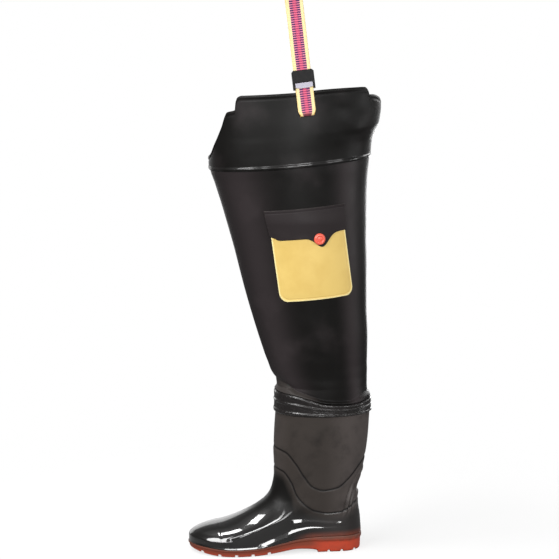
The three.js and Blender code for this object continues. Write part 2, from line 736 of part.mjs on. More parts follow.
// A geometry as a solid, with its shared vertices merged
function solidOf(geometry) {
  const bare = geometry.clone();
  bare.deleteAttribute("normal");
  bare.deleteAttribute("uv");
  const merged = mergeVertices(bare, 1e-4);
  const vertProperties = new Float32Array(merged.attributes.position.array);
  const triVerts = new Uint32Array(merged.index.array);
  return new wasm.Manifold(new wasm.Mesh({ numProp: 3, vertProperties, triVerts }));
}

// What is left of one closed body outside another
function cutAway(body, tool) {
  const mesh = solidOf(body).subtract(solidOf(tool)).getMesh();
  const geometry = new THREE.BufferGeometry();
  const stride = mesh.numProp;
  const positions = new Float32Array((mesh.vertProperties.length / stride) * 3);
  for (let i = 0; i * stride < mesh.vertProperties.length; i += 1)
    positions.set(mesh.vertProperties.subarray(i * stride, i * stride + 3), i * 3);
  geometry.setAttribute("position", new THREE.BufferAttribute(positions, 3));
  geometry.setIndex(Array.from(mesh.triVerts));
  return geometry;
}

// Materials
function finish(color, roughness, metalness = 0) {
  return new THREE.MeshStandardMaterial({ color, roughness, metalness });
}

const bootBlack = finish(0x1d1b1a, 0.22);
const sheetBlack = finish(0x23211f, 0.38);
const soleRed = finish(0xc2452a, 0.45);
const pocketYellow = finish(0xe0c46e, 0.5);
const snapRed = finish(0xe06850, 0.35);
const webbing = finish(0x9a4f78, 0.8);
const buckleBlack = finish(0x17171a, 0.4);
const barGrey = finish(0x8f9096, 0.35, 0.6);
const insoleGrey = finish(0x4a4d4a, 0.9);

const wader = new THREE.Group();
function add(parent, name, geometry, material) {
  const mesh = new THREE.Mesh(geometry, material);
  mesh.name = name;
  parent.add(mesh);
}

add(wader, "outsole", outsoleGeometry(), soleRed);
add(wader, "insole", insoleGeometry(), insoleGrey);
add(wader, "boot", bootGeometry(), bootBlack);
add(wader, "joint_band", bandGeometry(), bootBlack);
add(wader, "leg", legGeometry(), sheetBlack);
add(wader, "hip_panel", panelGeometry(), sheetBlack);
add(wader, "pocket", pocketGeometry(), pocketYellow);
add(wader, "pocket_flap", flapGeometry(), sheetBlack);
add(wader, "snap", snapGeometry(), snapRed);

const strapGroup = new THREE.Group();
strapGroup.position.copy(strapFoot);
strapGroup.rotation.set(Math.atan(-strapLean), Math.atan(panelSlope), Math.atan(panelTurn));
add(strapGroup, "strap", strapGeometry(), webbing);
add(strapGroup, "buckle", buckleGeometry(), buckleBlack);
add(strapGroup, "buckle_bar", barGeometry(), barGrey);
wader.add(strapGroup);

export default wader;
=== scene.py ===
import bmesh
import bpy
import numpy as np
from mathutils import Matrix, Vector


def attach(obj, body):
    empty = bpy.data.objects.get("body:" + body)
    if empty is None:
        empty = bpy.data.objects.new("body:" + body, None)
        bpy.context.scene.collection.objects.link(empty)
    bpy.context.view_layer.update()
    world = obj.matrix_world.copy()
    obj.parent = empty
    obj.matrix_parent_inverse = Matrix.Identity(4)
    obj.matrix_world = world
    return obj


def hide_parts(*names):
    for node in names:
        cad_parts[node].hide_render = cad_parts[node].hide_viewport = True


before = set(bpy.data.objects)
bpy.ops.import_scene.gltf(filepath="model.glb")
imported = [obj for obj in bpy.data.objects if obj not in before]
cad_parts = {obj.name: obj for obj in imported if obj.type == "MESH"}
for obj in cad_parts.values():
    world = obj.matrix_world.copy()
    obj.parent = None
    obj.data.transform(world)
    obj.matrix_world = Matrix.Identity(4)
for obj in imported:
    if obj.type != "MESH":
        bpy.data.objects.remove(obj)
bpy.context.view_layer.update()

# Sizes in millimetres, toe along -Y, outer side of the left leg along +X, floor at 0
MM = 0.001

# Foot and sole
SOLE_LENGTH = 310
BALL_WIDTH = 106
HEEL_WIDTH = 72
HEEL_BACK = 38
HEEL_HEIGHT = 29
FORE_HEIGHT = 13
TOE_SPRING = 8
ARCH_RISE = 8
HEEL_BREAST = 80
TOE_ROUND = 66
HEEL_ROUND = 36
TOE_SHIFT = 11
LUG_DEPTH = 4
LUG_GROOVE = 6
LUG_PITCH = 30
HEEL_LUG_PITCH = 24
SPINE_WIDTH = 18
INSOLE_THICK = 4
INSOLE_INSET = 6
ROUNDNESS = 2.15

# Boot and band
BOOT_HEIGHT = 255
SHAFT_DEPTH = 169
SHAFT_WIDTH = 132
BOOT_WALL = 3
BEAD_LIP = 1.25
TOE_CAP_LENGTH = 55
CAP_STEP = 0.9
BAND_HEIGHT = 39
BAND_THICK = 2.2
BAND_RIB = 1.2

# Leg and hip panel
LEG_WALL = 1.2
LEG_TUCK = 17
SEAM_HEIGHT = 705
SEAM_TILT = 0.08
HIP_DEPTH = 281
HIP_WIDTH = 222
PANEL_WALL = 1.5
PANEL_RISE = 107
TAB_SHARE = 1.178
HEM_HEIGHT = 7
HEM_RIB = 1.1
GAP = 0.3
SKIN_GAP = 0.4

# Pocket, flap and snap
POCKET_WIDTH = 128
POCKET_DEPTH = 131
POCKET_WALL = 1.6
POCKET_BULGE = 2.2
POCKET_TOP = 600
POCKET_MIDDLE = -70
POCKET_CORNER = 16
PATCH_LEAN = 0.15
FLAP_WIDTH = 141
FLAP_DEPTH = 46
FLAP_WALL = 1.4
FLAP_POINT = 23
FLAP_HANG = 631
SNAP_SHARE = 0.35
SNAP_DIAMETER = 20
SNAP_HEIGHT = 4.5
SNAP_Y = -51
SNAP_Z = 578

# Strap and buckle
STRAP_WIDTH = 30
STRAP_THICK = 1.8
STRAP_CLEAR = 1.3
STRAP_PLACE = -73
SLOT_DROP = 38
STRAP_REACH = 145
LOOP_HEIGHT = 62
STRAP_LEAN = -0.12
BUCKLE_WIDTH = 38
BUCKLE_HEIGHT = 33
BUCKLE_THICK = 5
BUCKLE_RISE = 4
BUCKLE_CHAMFER = 3
BAR_SHARE = 0.37
BAR_LOW = 2.2
BAR_PROUD = 0.6


# Curves and tables
def ease(t):
    """0 below 0, 1 above 1, and 3 t^2 - 2 t^3 between."""
    t = np.clip(t, 0, 1)
    return t * t * (3 - 2 * t)


def mix(a, b, t):
    return a + (b - a) * t


def ramp(t):
    """A straight rise from 0 at 0 to 1 at 1, softened at both ends."""
    return (np.hypot(t, 0.12) - np.hypot(t - 1, 0.12) + 1) / 2


def bell(distance, width):
    """1 on the line and falling off on both sides: e to the minus (distance / width) squared."""
    return np.exp(-((distance / width) ** 2))


def hermite(t, span, start, end, start_slope, end_slope):
    """A cubic from one value to the next over a span, with the slopes given at both."""
    first = (2 * t**3 - 3 * t**2 + 1) * start + (t**3 - 2 * t**2 + t) * span * start_slope
    last = (3 * t**2 - 2 * t**3) * end + (t**3 - t**2) * span * end_slope
    return first + last


def curve(rows, at):
    """The later columns of a table at the keys `at`: cubic pieces through its rows, whose slope at a row is
    the harmonic mean of the slopes on both sides, or 0 at a turning point."""
    rows = np.array(rows, float)
    key, value = rows[:, 0], rows[:, 1:]
    span = np.diff(key)[:, None]
    slope = np.diff(value, axis=0) / span
    product = slope[1:] * slope[:-1]
    middle = np.where(product > 0, 2 * product / np.where(product > 0, slope[1:] + slope[:-1], 1), 0)
    slopes = np.vstack([slope[:1], middle, slope[-1:]])
    at = np.clip(np.asarray(at, float), key[0], key[-1])
    i = np.clip(np.searchsorted(key, at) - 1, 0, len(key) - 2)
    t = ((at - key[i]) / (key[i + 1] - key[i]))[..., None]
    return np.moveaxis(hermite(t, span[i], value[i], value[i + 1], slopes[i], slopes[i + 1]), -1, 0)


def quarter(share):
    """Quarter of a round end: 0 at its tip and 1 at its full width."""
    return (1 - (1 - np.clip(share, 0, 1)) ** ROUNDNESS) ** (1 / ROUNDNESS)


# Ripples: how many sines, the least and the most radians a unit, the range of their phases, and their gain
RIPPLE_COUNT = 7
RIPPLE_PITCH = (0.6, 1.8)
RIPPLE_PHASE = 6.3
RIPPLE_GAIN = 1.6


def waves(a, b, seed):
    """Uneven ripples of two numbers, mostly from -1 to 1: a mean of sines with seeded directions, pitches and
    phases."""
    draw = np.random.default_rng(seed)
    total = 0
    for _ in range(RIPPLE_COUNT):
        angle = draw.uniform(0, 2 * np.pi)
        pitch = draw.uniform(*RIPPLE_PITCH)
        phase = draw.uniform(0, RIPPLE_PHASE)
        total = total + np.sin((a * np.cos(angle) + b * np.sin(angle)) * pitch + phase)
    return total / RIPPLE_COUNT * RIPPLE_GAIN


# The sole: half widths, under side and top edge along the foot, from the heel (0) to the toe (1)
LAST_PLAN = [
    # along, outer, inner
    (0.0, 0.305, 0.3),
    (0.12, 0.33, 0.315),
    (0.27, 0.345, 0.32),
    (0.4, 0.385, 0.3),
    (0.5, 0.43, 0.33),
    (0.62, 0.48, 0.42),
    (0.72, 0.505, 0.485),
    (0.82, 0.48, 0.515),
    (0.91, 0.43, 0.52),
    (1.0, 0.37, 0.52),
]
SOLE_SIDE = [
    # along, under, tip, top
    (0.0, 0, 0, 1.0),
    (0.2, 0, 0, 1.0),
    (0.3, 0.8, 0, 0.98),
    (0.38, 1.0, 0, 0.9),
    (0.48, 0.55, 0, 0.72),
    (0.58, 0.12, 0, 0.53),
    (0.64, 0, 0, 0.47),
    (0.76, 0, 0, 0.45),
    (0.84, 0, 0.14, 0.5),
    (0.92, 0, 0.45, 0.57),
    (1.0, 0, 1.0, 0.59),
]
BALL_PLACE = 0.72
BREAST = HEEL_BREAST / SOLE_LENGTH


def along_foot(y):
    return (HEEL_BACK - y) / SOLE_LENGTH


def foot_place(along):
    return HEEL_BACK - along * SOLE_LENGTH


def centre_line(along):
    return -TOE_SHIFT * ease((along - 0.35) / 0.65)


def sole_top(along):
    top = curve(SOLE_SIDE, along)[2]
    fore = FORE_HEIGHT / curve(SOLE_SIDE, BALL_PLACE)[2]
    return top * mix(HEEL_HEIGHT, fore, ease((along - 0.3) / 0.4))


def sole_under(along):
    under, tip, _ = curve(SOLE_SIDE, along)
    return np.where(along <= BREAST, 0, under * ARCH_RISE + tip * TOE_SPRING)


def last_width(along, side):
    """Half width of the last on one side, with the heel's own width behind the waist."""
    outer, inner = curve(LAST_PLAN, along)
    heel_share = HEEL_WIDTH / BALL_WIDTH / (LAST_PLAN[2][1] + LAST_PLAN[2][2])
    return np.where(side > 0, outer, inner) * BALL_WIDTH * mix(heel_share, 1, ease(along / 0.55))


def foot_outline(along, side, grow):
    """Point of the last's outline let out by `grow`: half width times the rounds of the toe and the heel."""
    length = SOLE_LENGTH + 2 * grow
    toe = quarter((1 - along) * length / (TOE_ROUND + grow))
    heel = quarter(along * length / (HEEL_ROUND + grow))
    middle = centre_line(along)
    reach = side * (last_width(along, side) + grow) - middle
    return middle + reach * toe * heel, HEEL_BACK + grow - along * length


# The boot's rings: level, back, back height, front, front height, width, plan, nose, heel, hug
BOOT_RINGS = [
    (0, 0.003, 0.116, 0.994, 0.066, 0.7, 1, 0.39, 0.215, 1),
    (1, 0.002, 0.135, 0.997, 0.085, 0.7, 1, 0.39, 0.215, 1),
    (2, 0.003, 0.155, 0.997, 0.107, 0.7, 1, 0.4, 0.215, 0.95),
    (3, 0.005, 0.185, 0.982, 0.132, 0.7, 0.96, 0.45, 0.215, 0.8),
    (4, 0.007, 0.22, 0.945, 0.157, 0.7, 0.9, 0.52, 0.22, 0.6),
    (5, 0.01, 0.255, 0.888, 0.184, 0.7, 0.8, 0.6, 0.23, 0.45),
    (6, 0.015, 0.29, 0.828, 0.208, 0.7, 0.7, 0.67, 0.24, 0.3),
    (7, 0.019, 0.325, 0.766, 0.236, 0.7, 0.58, 0.72, 0.255, 0.18),
    (8, 0.02, 0.36, 0.69, 0.275, 0.71, 0.45, 0.74, 0.28, 0.08),
    (9, 0.024, 0.4, 0.61, 0.325, 0.72, 0.3, 0.7, 0.31, 0),
    (10, 0.026, 0.44, 0.556, 0.37, 0.73, 0.18, 0.63, 0.35, 0),
    (11, 0.023, 0.475, 0.527, 0.415, 0.74, 0.08, 0.55, 0.39, 0),
    (12, 0.013, 0.515, 0.512, 0.468, 0.755, 0, 0.51, 0.43, 0),
    (13, -0.004, 0.575, 0.503, 0.545, 0.79, 0, 0.49, 0.47, 0),
    (14, -0.019, 0.65, 0.505, 0.63, 0.835, 0, 0.48, 0.49, 0),
    (15, -0.032, 0.74, 0.508, 0.73, 0.89, 0, 0.48, 0.5, 0),
    (16, -0.041, 0.85, 0.505, 0.85, 0.945, 0, 0.49, 0.5, 0),
    (17, -0.048, 1.0, 0.497, 1.0, 1, 0, 0.5, 0.5, 0),
]
BAND_LEVEL = 17
FIRST_BACK_UP = BOOT_RINGS[0][2]
FIRST_FRONT_UP = BOOT_RINGS[0][4]
SHAFT_BACK = BOOT_RINGS[-1][1]
SHAFT_FRONT = BOOT_RINGS[-1][3]

# The band's height round the shaft, from the back (0) to the shin (1)
BAND_LINE = [(0.0, 0.62), (0.25, 0.5), (0.5, 0.56), (0.66, 0.74), (0.82, 0.92), (1.0, 1.0)]


def half_turn(turn):
    """Side (+1 outer, -1 inner) and the share from back to front, for turn 0 at the back and a half at the
    front."""
    turn = np.mod(turn, 1)
    side = np.where(turn <= 0.5, 1.0, -1.0)
    share = np.where(turn <= 0.5, 2 * turn, 2 - 2 * turn)
    return side, (1 - np.cos(share * np.pi)) / 2


def boot_skin(turn, level):
    """Outer skin of the boot: rings between a back and a front place, rounded at both ends, that pass from
    the last's outline at the sole to an oval at the shaft, with the toe cap's step."""
    _, back_up, _, front_up, wide, plan, nose_share, heel_share, hug = curve(BOOT_RINGS, level)
    back_share, _, front_share, *_ = curve(BOOT_RINGS, level)
    side, along = half_turn(turn)
    shaft = ease((level - 9) / 6)
    deep = mix(1, SHAFT_DEPTH / (SHAFT_FRONT - SHAFT_BACK) / SOLE_LENGTH, shaft)
    axis = foot_place((SHAFT_FRONT + SHAFT_BACK) / 2)
    back = axis + (foot_place(back_share) - axis) * deep
    front = axis + (foot_place(front_share) - axis) * deep
    y = mix(back, front, along)
    foot = along_foot(y)
    base = mix(sole_top(along_foot(back)), sole_top(along_foot(front)), along)
    lift = mix(back_up - FIRST_BACK_UP, front_up - FIRST_FRONT_UP, along)
    reach = (BOOT_HEIGHT - base - GAP) / mix(1 - FIRST_BACK_UP, 1 - FIRST_FRONT_UP, along)
    z = base + GAP + lift * reach + hug * (sole_top(foot) - base)
    nose = quarter((y - front) / (nose_share * SHAFT_DEPTH))
    heel = quarter((back - y) / (heel_share * SHAFT_DEPTH))
    middle = centre_line(foot) * (1 - ease((level - 9) / 4))
    width = mix(wide * SHAFT_WIDTH / 2, last_width(foot, side), plan)
    cap = CAP_STEP * ease((foot - 1 + TOE_CAP_LENGTH / SOLE_LENGTH) * 80) * ease((level - 1.8) * 2)
    x = middle + (side * width - middle) * nose * heel
    return np.stack([x, y, z + cap], -1)


# The leg's rings: up, front, back, width, tilt
LEG_RINGS = [
    (0.107, -0.055, 0.492, 0.575, 0),
    (0.164, -0.116, 0.493, 0.6, 0.1),
    (0.278, -0.18, 0.493, 0.67, 0.3),
    (0.438, -0.258, 0.486, 0.755, 0.6),
    (0.571, -0.311, 0.486, 0.82, 0.8),
    (0.696, -0.361, 0.484, 0.88, 0.9),
    (0.838, -0.422, 0.482, 0.94, 1),
    (0.931, -0.468, 0.489, 0.975, 1),
    (1, -0.5, 0.5, 1, 1),
    (1.055, -0.502, 0.507, 1.008, 1),
    (1.09, -0.502, 0.527, 1.013, 1),
    (1.12, -0.501, 0.551, 1.016, 1),
    (1.17, -0.5, 0.561, 1.02, 1),
    (1.3, -0.495, 0.557, 1.02, 1),
]
LEG_LOW = LEG_RINGS[0][0]
LEG_RISE = SEAM_HEIGHT - BOOT_HEIGHT
HIP_MIDDLE = foot_place(0.4145)


def leg_skin(turn, up):
    """Outer skin of the leg and hip: an oval at each height, between its own back and front, tilted with the
    seam."""
    front_share, back_share, wide, tilt_share = curve(LEG_RINGS, up)
    side, along = half_turn(turn)
    y = mix(HIP_MIDDLE + back_share * HIP_DEPTH, HIP_MIDDLE + front_share * HIP_DEPTH, along)
    tilt = tilt_share * SEAM_TILT * (y - HIP_MIDDLE)
    x = side * wide * HIP_WIDTH * np.sqrt(np.clip(1 - (1 - 2 * along) ** 2, 0, 1)) / 2
    return np.stack([x, y, BOOT_HEIGHT + up * LEG_RISE + tilt], -1)


def normals(skin, turn, level, flat=False):
    """Outward unit normals of a skin: its rise up the rings crossed with its run round them."""
    around = skin(turn + 0.004, level) - skin(turn - 0.004, level)
    rise = skin(turn, level + 0.05) - skin(turn, level - 0.05)
    normal = np.cross(rise, around)
    if flat:
        normal[..., 2] = 0
    return normal / np.linalg.norm(normal, axis=-1, keepdims=True)


def off_skin(skin, turn, level, by, flat=False):
    """A skin's points moved out along its normals by `by`, or in where that is below zero."""
    return skin(turn, level) + normals(skin, turn, level, flat) * np.asarray(by, float)[..., None]


def up_at(turn, z):
    """Share of the leg's height at which its skin passes a height, by four steps of correction."""
    up = (z - BOOT_HEIGHT) / LEG_RISE
    for _ in range(4):
        up = up + (z - leg_skin(turn, up)[..., 2]) / LEG_RISE
    return up


def on_leg(y, z, by):
    """Points over the leg's outer side at places along the foot and heights, let out by `by`."""
    y, z, by = np.broadcast_arrays(np.asarray(y, float), np.asarray(z, float), np.asarray(by, float))
    turn = np.full(y.shape, 0.25)
    up = up_at(turn, z)
    for _ in range(5):
        back = leg_skin(np.zeros(y.shape), up)[..., 1]
        front = leg_skin(np.full(y.shape, 0.5), up)[..., 1]
        turn = np.arccos(np.clip(1 - 2 * (back - y) / (back - front), -1, 1)) / (2 * np.pi)
        up = up_at(turn, z)
    return off_skin(leg_skin, turn, up, by)


# Meshes from grids of points
def marked(points, first, last=None):
    """0 on a grid's points, and 1 on its rows from the first to the last."""
    marks = np.zeros(points.shape[:2])
    marks[first:last] = 1
    return marks


def grid_faces(rows, columns, around=True, along=False):
    """Four-sided faces of a grid, its last column joined to the first (around), its last row to the first
    (along)."""
    index = np.arange(rows * columns).reshape(rows, columns)
    if around:
        index = np.hstack([index, index[:, :1]])
    if along:
        index = np.vstack([index, index[:1]])
    return np.stack([index[:-1, :-1], index[1:, :-1], index[1:, 1:], index[:-1, 1:]], -1).reshape(-1, 4)


def slab_faces(rows, columns):
    """Faces of a sheet between two grids, the outer one first: both faces and a strip along each border."""
    outer = grid_faces(rows, columns, around=False)
    inner = outer[:, ::-1] + rows * columns
    index = np.arange(rows * columns).reshape(rows, columns)
    border = np.concatenate([index[0, :-1], index[:-1, -1], index[-1, :0:-1], index[:0:-1, 0]])
    ahead = np.roll(border, -1)
    strip = np.stack([border, ahead, ahead + rows * columns, border + rows * columns], -1)
    return np.concatenate([outer, inner, strip])


def mesh_of(name, points, faces, attributes=None, sharp=50):
    """A closed, smooth-shaded mesh of points in millimetres, its doubles merged and its faces turned out."""
    mesh = bpy.data.meshes.new(name)
    mesh.from_pydata((np.asarray(points).reshape(-1, 3) * MM).tolist(), [], np.asarray(faces).tolist())
    for key, values in (attributes or {}).items():
        layer = mesh.attributes.new(key, "FLOAT", "POINT")
        layer.data.foreach_set("value", np.ascontiguousarray(values, np.float32).ravel())
    work = bmesh.new()
    work.from_mesh(mesh)
    bmesh.ops.remove_doubles(work, verts=work.verts, dist=1e-6)
    bmesh.ops.recalc_face_normals(work, faces=work.faces)
    work.to_mesh(mesh)
    work.free()
    mesh.shade_smooth()
    mesh.set_sharp_from_angle(angle=np.radians(sharp))
    return mesh


def place(mesh, node, finish):
    """Puts a mesh in the scene as the piece that stands for a CAD node."""
    piece = bpy.data.objects.new(mesh.name, mesh)
    bpy.context.scene.collection.objects.link(piece)
    mesh.materials.append(finish)
    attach(piece, "root")
    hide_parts(node)
    return piece


# Shader values with Python's arithmetic
class Value:
    """A shader value: each operator on it adds its Math node."""

    def __init__(self, finish, socket):
        self.finish = finish
        self.socket = socket

    def math(self, operation, *values):
        inputs = dict(enumerate(values))
        return self.finish.node("ShaderNodeMath", {"operation": operation}, inputs)

    def __add__(self, other):
        return self.math("ADD", self, other)

    def __radd__(self, other):
        return self.math("ADD", other, self)

    def __sub__(self, other):
        return self.math("SUBTRACT", self, other)

    def __rsub__(self, other):
        return self.math("SUBTRACT", other, self)

    def __mul__(self, other):
        return self.math("MULTIPLY", self, other)

    def __rmul__(self, other):
        return self.math("MULTIPLY", other, self)

    def __truediv__(self, other):
        return self.math("DIVIDE", self, other)

    def __pow__(self, other):
        return self.math("POWER", self, other)

    def __abs__(self):
        return self.math("ABSOLUTE", self)

    def sin(self):
        return self.math("SINE", self)

    def most(self, other):
        return self.math("MAXIMUM", self, other)

    def least(self, other):
        return self.math("MINIMUM", self, other)

    def step(self, low, high):
        """0 at `low`, 1 at `high`, with a smooth rise between (or a fall, if `high` is the lower)."""
        settings = {"interpolation_type": "SMOOTHSTEP"}
        if high < low:
            return 1 - self.finish.node("ShaderNodeMapRange", settings, {0: self, 1: high, 2: low})
        return self.finish.node("ShaderNodeMapRange", settings, {0: self, 1: low, 2: high})

    def line(self, at, width):
        """1 where the value is `at`, falling to 0 at `width` on both sides."""
        return abs(self - at).step(width, 0)


# Share of its colour that a surface keeps, because the lights are strong enough for white highlights
SHADE = 0.7


def colour(red, green, blue):
    """Linear colour of an sRGB one given from 0 to 255, darkened by the shade."""
    share = np.array([red, green, blue]) / 255
    linear = np.where(share <= 0.04045, share / 12.92, ((share + 0.055) / 1.055) ** 2.4)
    return (*(linear * SHADE).tolist(), 1.0)


class Finish:
    """A material: one Principled shader, its fixed sockets, and the nodes that feed the others."""

    def __init__(self, name, **fixed):
        self.material = bpy.data.materials.new(name)
        self.material.use_nodes = True
        self.tree = self.material.node_tree
        self.tree.nodes.clear()
        self.shader = self.tree.nodes.new("ShaderNodeBsdfPrincipled")
        surface = self.tree.nodes.new("ShaderNodeOutputMaterial")
        self.tree.links.new(self.shader.outputs[0], surface.inputs[0])
        for key, value in fixed.items():
            self.put(self.shader.inputs[key.replace("_", " ").title().replace("Ior", "IOR")], value)

    def put(self, socket, value):
        if isinstance(value, Value):
            self.tree.links.new(value.socket, socket)
        else:
            socket.default_value = value

    def node(self, kind, settings=None, inputs=None, output=0):
        """Adds a node, its settings first and then its sockets, and gives one output."""
        made = self.tree.nodes.new(kind)
        for key, value in (settings or {}).items():
            setattr(made, key, value)
        for key, value in (inputs or {}).items():
            self.put(made.inputs[key], value)
        return Value(self, made.outputs[output])

    def attribute(self, name):
        return self.node("ShaderNodeAttribute", {"attribute_name": name}, output="Fac")

    def places(self):
        """x, y and z on the object, in millimetres."""
        coordinate = self.node("ShaderNodeTexCoord", output="Object")
        parts = [self.node("ShaderNodeSeparateXYZ", inputs={0: coordinate}, output=i) for i in range(3)]
        return [part * 1000 for part in parts]

    def noise(self, size, detail=2, roughness=0.5, stretch=(1, 1, 1)):
        """Noise from 0 to 1 on the object, its grains about `size` millimetres wide and stretched along the
        axes."""
        coordinate = self.node("ShaderNodeTexCoord", output="Object")
        scale = tuple(1000 / size / s for s in stretch)
        scaled = self.node("ShaderNodeVectorMath", {"operation": "MULTIPLY"}, {0: coordinate, 1: scale})
        inputs = {"Vector": scaled, "Scale": 1.0, "Detail": detail, "Roughness": roughness}
        return self.node("ShaderNodeTexNoise", inputs=inputs)

    def blend(self, first, second, factor):
        """A colour between two."""
        settings = {"data_type": "RGBA", "clamp_factor": True}
        return self.node("ShaderNodeMix", settings, {0: factor, 6: first, 7: second}, output=2)

    def relief(self, height):
        """Bump from a height in millimetres, to the shader's normal."""
        normal = self.node("ShaderNodeBump", inputs={"Strength": 1.0, "Distance": MM, "Height": height})
        self.put(self.shader.inputs["Normal"], normal)

    def set(self, **values):
        for key, value in values.items():
            self.put(self.shader.inputs[key.replace("_", " ").title()], value)
        return self


# Base colours of the surfaces, red, green and blue from 0 to 255
SHAFT_GREY = colour(53, 48, 45)
# Painted sheen: the next colour lightens the shaft towards its back and its front
SHAFT_SHEEN = colour(78, 72, 70)
FOOT_BLACK = colour(16, 15, 14)
# Painted sheen: the next colour lightens the black foot towards the heel
FOOT_SHEEN = colour(36, 33, 32)
# Painted shade: the next colour darkens the grooves of the boot's style lines
GROOVE_SHADE = colour(12, 11, 11)
SHEET_DARK = colour(14, 13, 12)
# Lilac of random patches, and painted sheen in the leg's sheen bands
SHEET_LILAC_SHEEN_AND_TONE = colour(46, 41, 42)
ROLL_GREY = colour(50, 46, 44)
LINING_GREEN = colour(52, 58, 54)
SOLE_RED = colour(168, 58, 34)
SOLE_BROWN = colour(106, 50, 34)
SOLE_DULL = colour(84, 56, 44)
# Painted shade: the next colour darkens the sole next to the floor
SOLE_FLOOR_SHADE = colour(60, 28, 22)
POCKET_YELLOW = colour(212, 182, 104)
POCKET_DEEP = colour(198, 166, 86)
POCKET_PALE = colour(236, 220, 158)
SNAP_RED = colour(222, 92, 72)
SNAP_DEEP = colour(196, 72, 56)
STRAP_CREAM = colour(226, 210, 156)
STRAP_GOLD = colour(206, 158, 70)
STRAP_PURPLE = colour(56, 34, 82)
STRAP_PINK = colour(206, 76, 108)
STRAP_ROSE = colour(228, 150, 172)
# Wine threads, and painted shade where the strap bends into the slot
STRAP_WINE_AND_BEND_SHADE = colour(92, 22, 48)
BUCKLE_BLACK = colour(15, 14, 15)
BUCKLE_WORN = colour(26, 24, 25)
# Painted highlight: the buckle bar's pale lilac-grey stands in for light on its black plastic
BAR_HIGHLIGHT_GREY = colour(124, 121, 132)
BAR_HIGHLIGHT_PALE = colour(150, 147, 158)
BAND_DARK = colour(24, 22, 21)
BAND_PALE = colour(40, 36, 37)
FELT_DARK = colour(64, 68, 64)
FELT_PALE = colour(96, 100, 94)
FLOOR_GREY = (0.6, 0.6, 0.6, 1)


def boot_finish():
    """Satin grey-brown shaft above the foot line and glossy black foot below it, with painted sheen
    lightening the shaft towards its back and front and the foot towards the heel, painted shade darkening
    every groove, and the sole's colour bled a little into the black over the heel."""
    f = Finish("moulded_boot_rubber", specular_ior_level=0.12, coat_roughness=0.05)
    _, y, z = f.places()
    line = f.attribute("foot_line")
    collar = f.attribute("collar_line")
    edge = f.attribute("sole_edge")
    inside = f.attribute("inside")
    foot = line.step(4, -20)
    near = line.step(60, 10)
    cloud = f.noise(34, 3)
    fine = f.noise(1.4, 2)
    blotch = f.noise(7, 3)
    groove = collar.line(0, 2.8).most(line.line(0, 2.8))
    # Painted sheen: lighter shaft towards its back and front, lighter grey foot towards the heel
    pale = y.step(-40, 14) * 0.7 + y.step(-92, -124) * 0.35
    dark = f.blend(FOOT_BLACK, FOOT_SHEEN, y.step(-70, -10))
    tone = f.blend(f.blend(SHAFT_GREY, SHAFT_SHEEN, pale), dark, foot)
    tone = f.blend(tone, FOOT_BLACK, cloud.step(0.45, 0.8) * 0.5)
    # Painted shade: the grooves of the style lines are darkened to near black
    tone = f.blend(tone, GROOVE_SHADE, groove)
    bled = edge.step(13, 1) * y.step(-92, -50) * (0.55 + blotch * 0.8)
    tone = f.blend(tone, SOLE_BROWN, bled * 0.75)
    tone = f.blend(tone, LINING_GREEN, inside)
    heel = y.step(-12, 24)
    gloss = foot * z.step(84, 64) * (1 - heel * 0.75) * (1 - inside)
    rough = 0.42 - near * 0.04 + inside * 0.45 + fine * 0.02 + cloud * 0.05 * (1 - foot)
    f.set(base_color=tone, roughness=rough, coat_weight=gloss)
    f.relief(cloud * 0.1 * (1 - foot) + fine * 0.012)
    return f.material


def band_finish():
    """Rubber band welded round the joint, crinkled by the heat."""
    f = Finish("welded_band_rubber", specular_ior_level=0.3, coat_roughness=0.12)
    inside = f.attribute("inside")
    crinkle = f.noise(5, 4, 0.7, (1, 1, 0.35))
    tone = f.blend(BAND_DARK, BAND_PALE, crinkle.step(0.4, 0.75))
    glint = crinkle.step(0.42, 0.6) * f.noise(26, 2).step(0.46, 0.62) * (1 - inside)
    f.set(base_color=tone, roughness=0.36 + inside * 0.4 - crinkle * 0.16, coat_weight=glint)
    f.relief(crinkle * 0.35)
    return f.material


def sheet_finish(name, lining=True):
    """Satin black vinyl sheet, lined with a fine knit, lilac in random patches and with painted sheen in
    lilac bands where its mesh carries them; the flap takes an even share of lilac instead. An attribute that
    a mesh lacks reads as 0.
    """
    f = Finish(name, specular_ior_level=0.11 if lining else 0.06, coat_roughness=0.1)
    cloud = f.noise(70, 3)
    patches = f.noise(24, 2)
    grain = f.noise(0.9, 2)
    # Painted sheen: the leg's sheen bands turn it lilac; the flap takes an even share of lilac
    sheen = f.attribute("sheen") if lining else 0.75
    tone = f.blend(SHEET_DARK, SHEET_LILAC_SHEEN_AND_TONE, (sheen + cloud.step(0.5, 0.85) * 0.5).least(1))
    inside = f.attribute("inside")
    roll = f.attribute("roll")
    tone = f.blend(tone, ROLL_GREY, roll)
    if lining:
        tone = f.blend(tone, LINING_GREEN, inside)
    else:
        rubbed = f.attribute("edge").step(2.2, 0.5) * f.noise(4, 3).step(0.42, 0.62)
        tone = f.blend(tone, ROLL_GREY, rubbed)
    hem = f.attribute("hem")
    worn = hem * patches.step(0.34, 0.58) * 0.45
    f.set(base_color=tone, roughness=0.36 + patches * 0.16 + inside * 0.4 + roll * 0.1, coat_weight=worn)
    f.relief(grain * 0.02 * (1 + inside * 8) + cloud * 0.25)
    return f.material


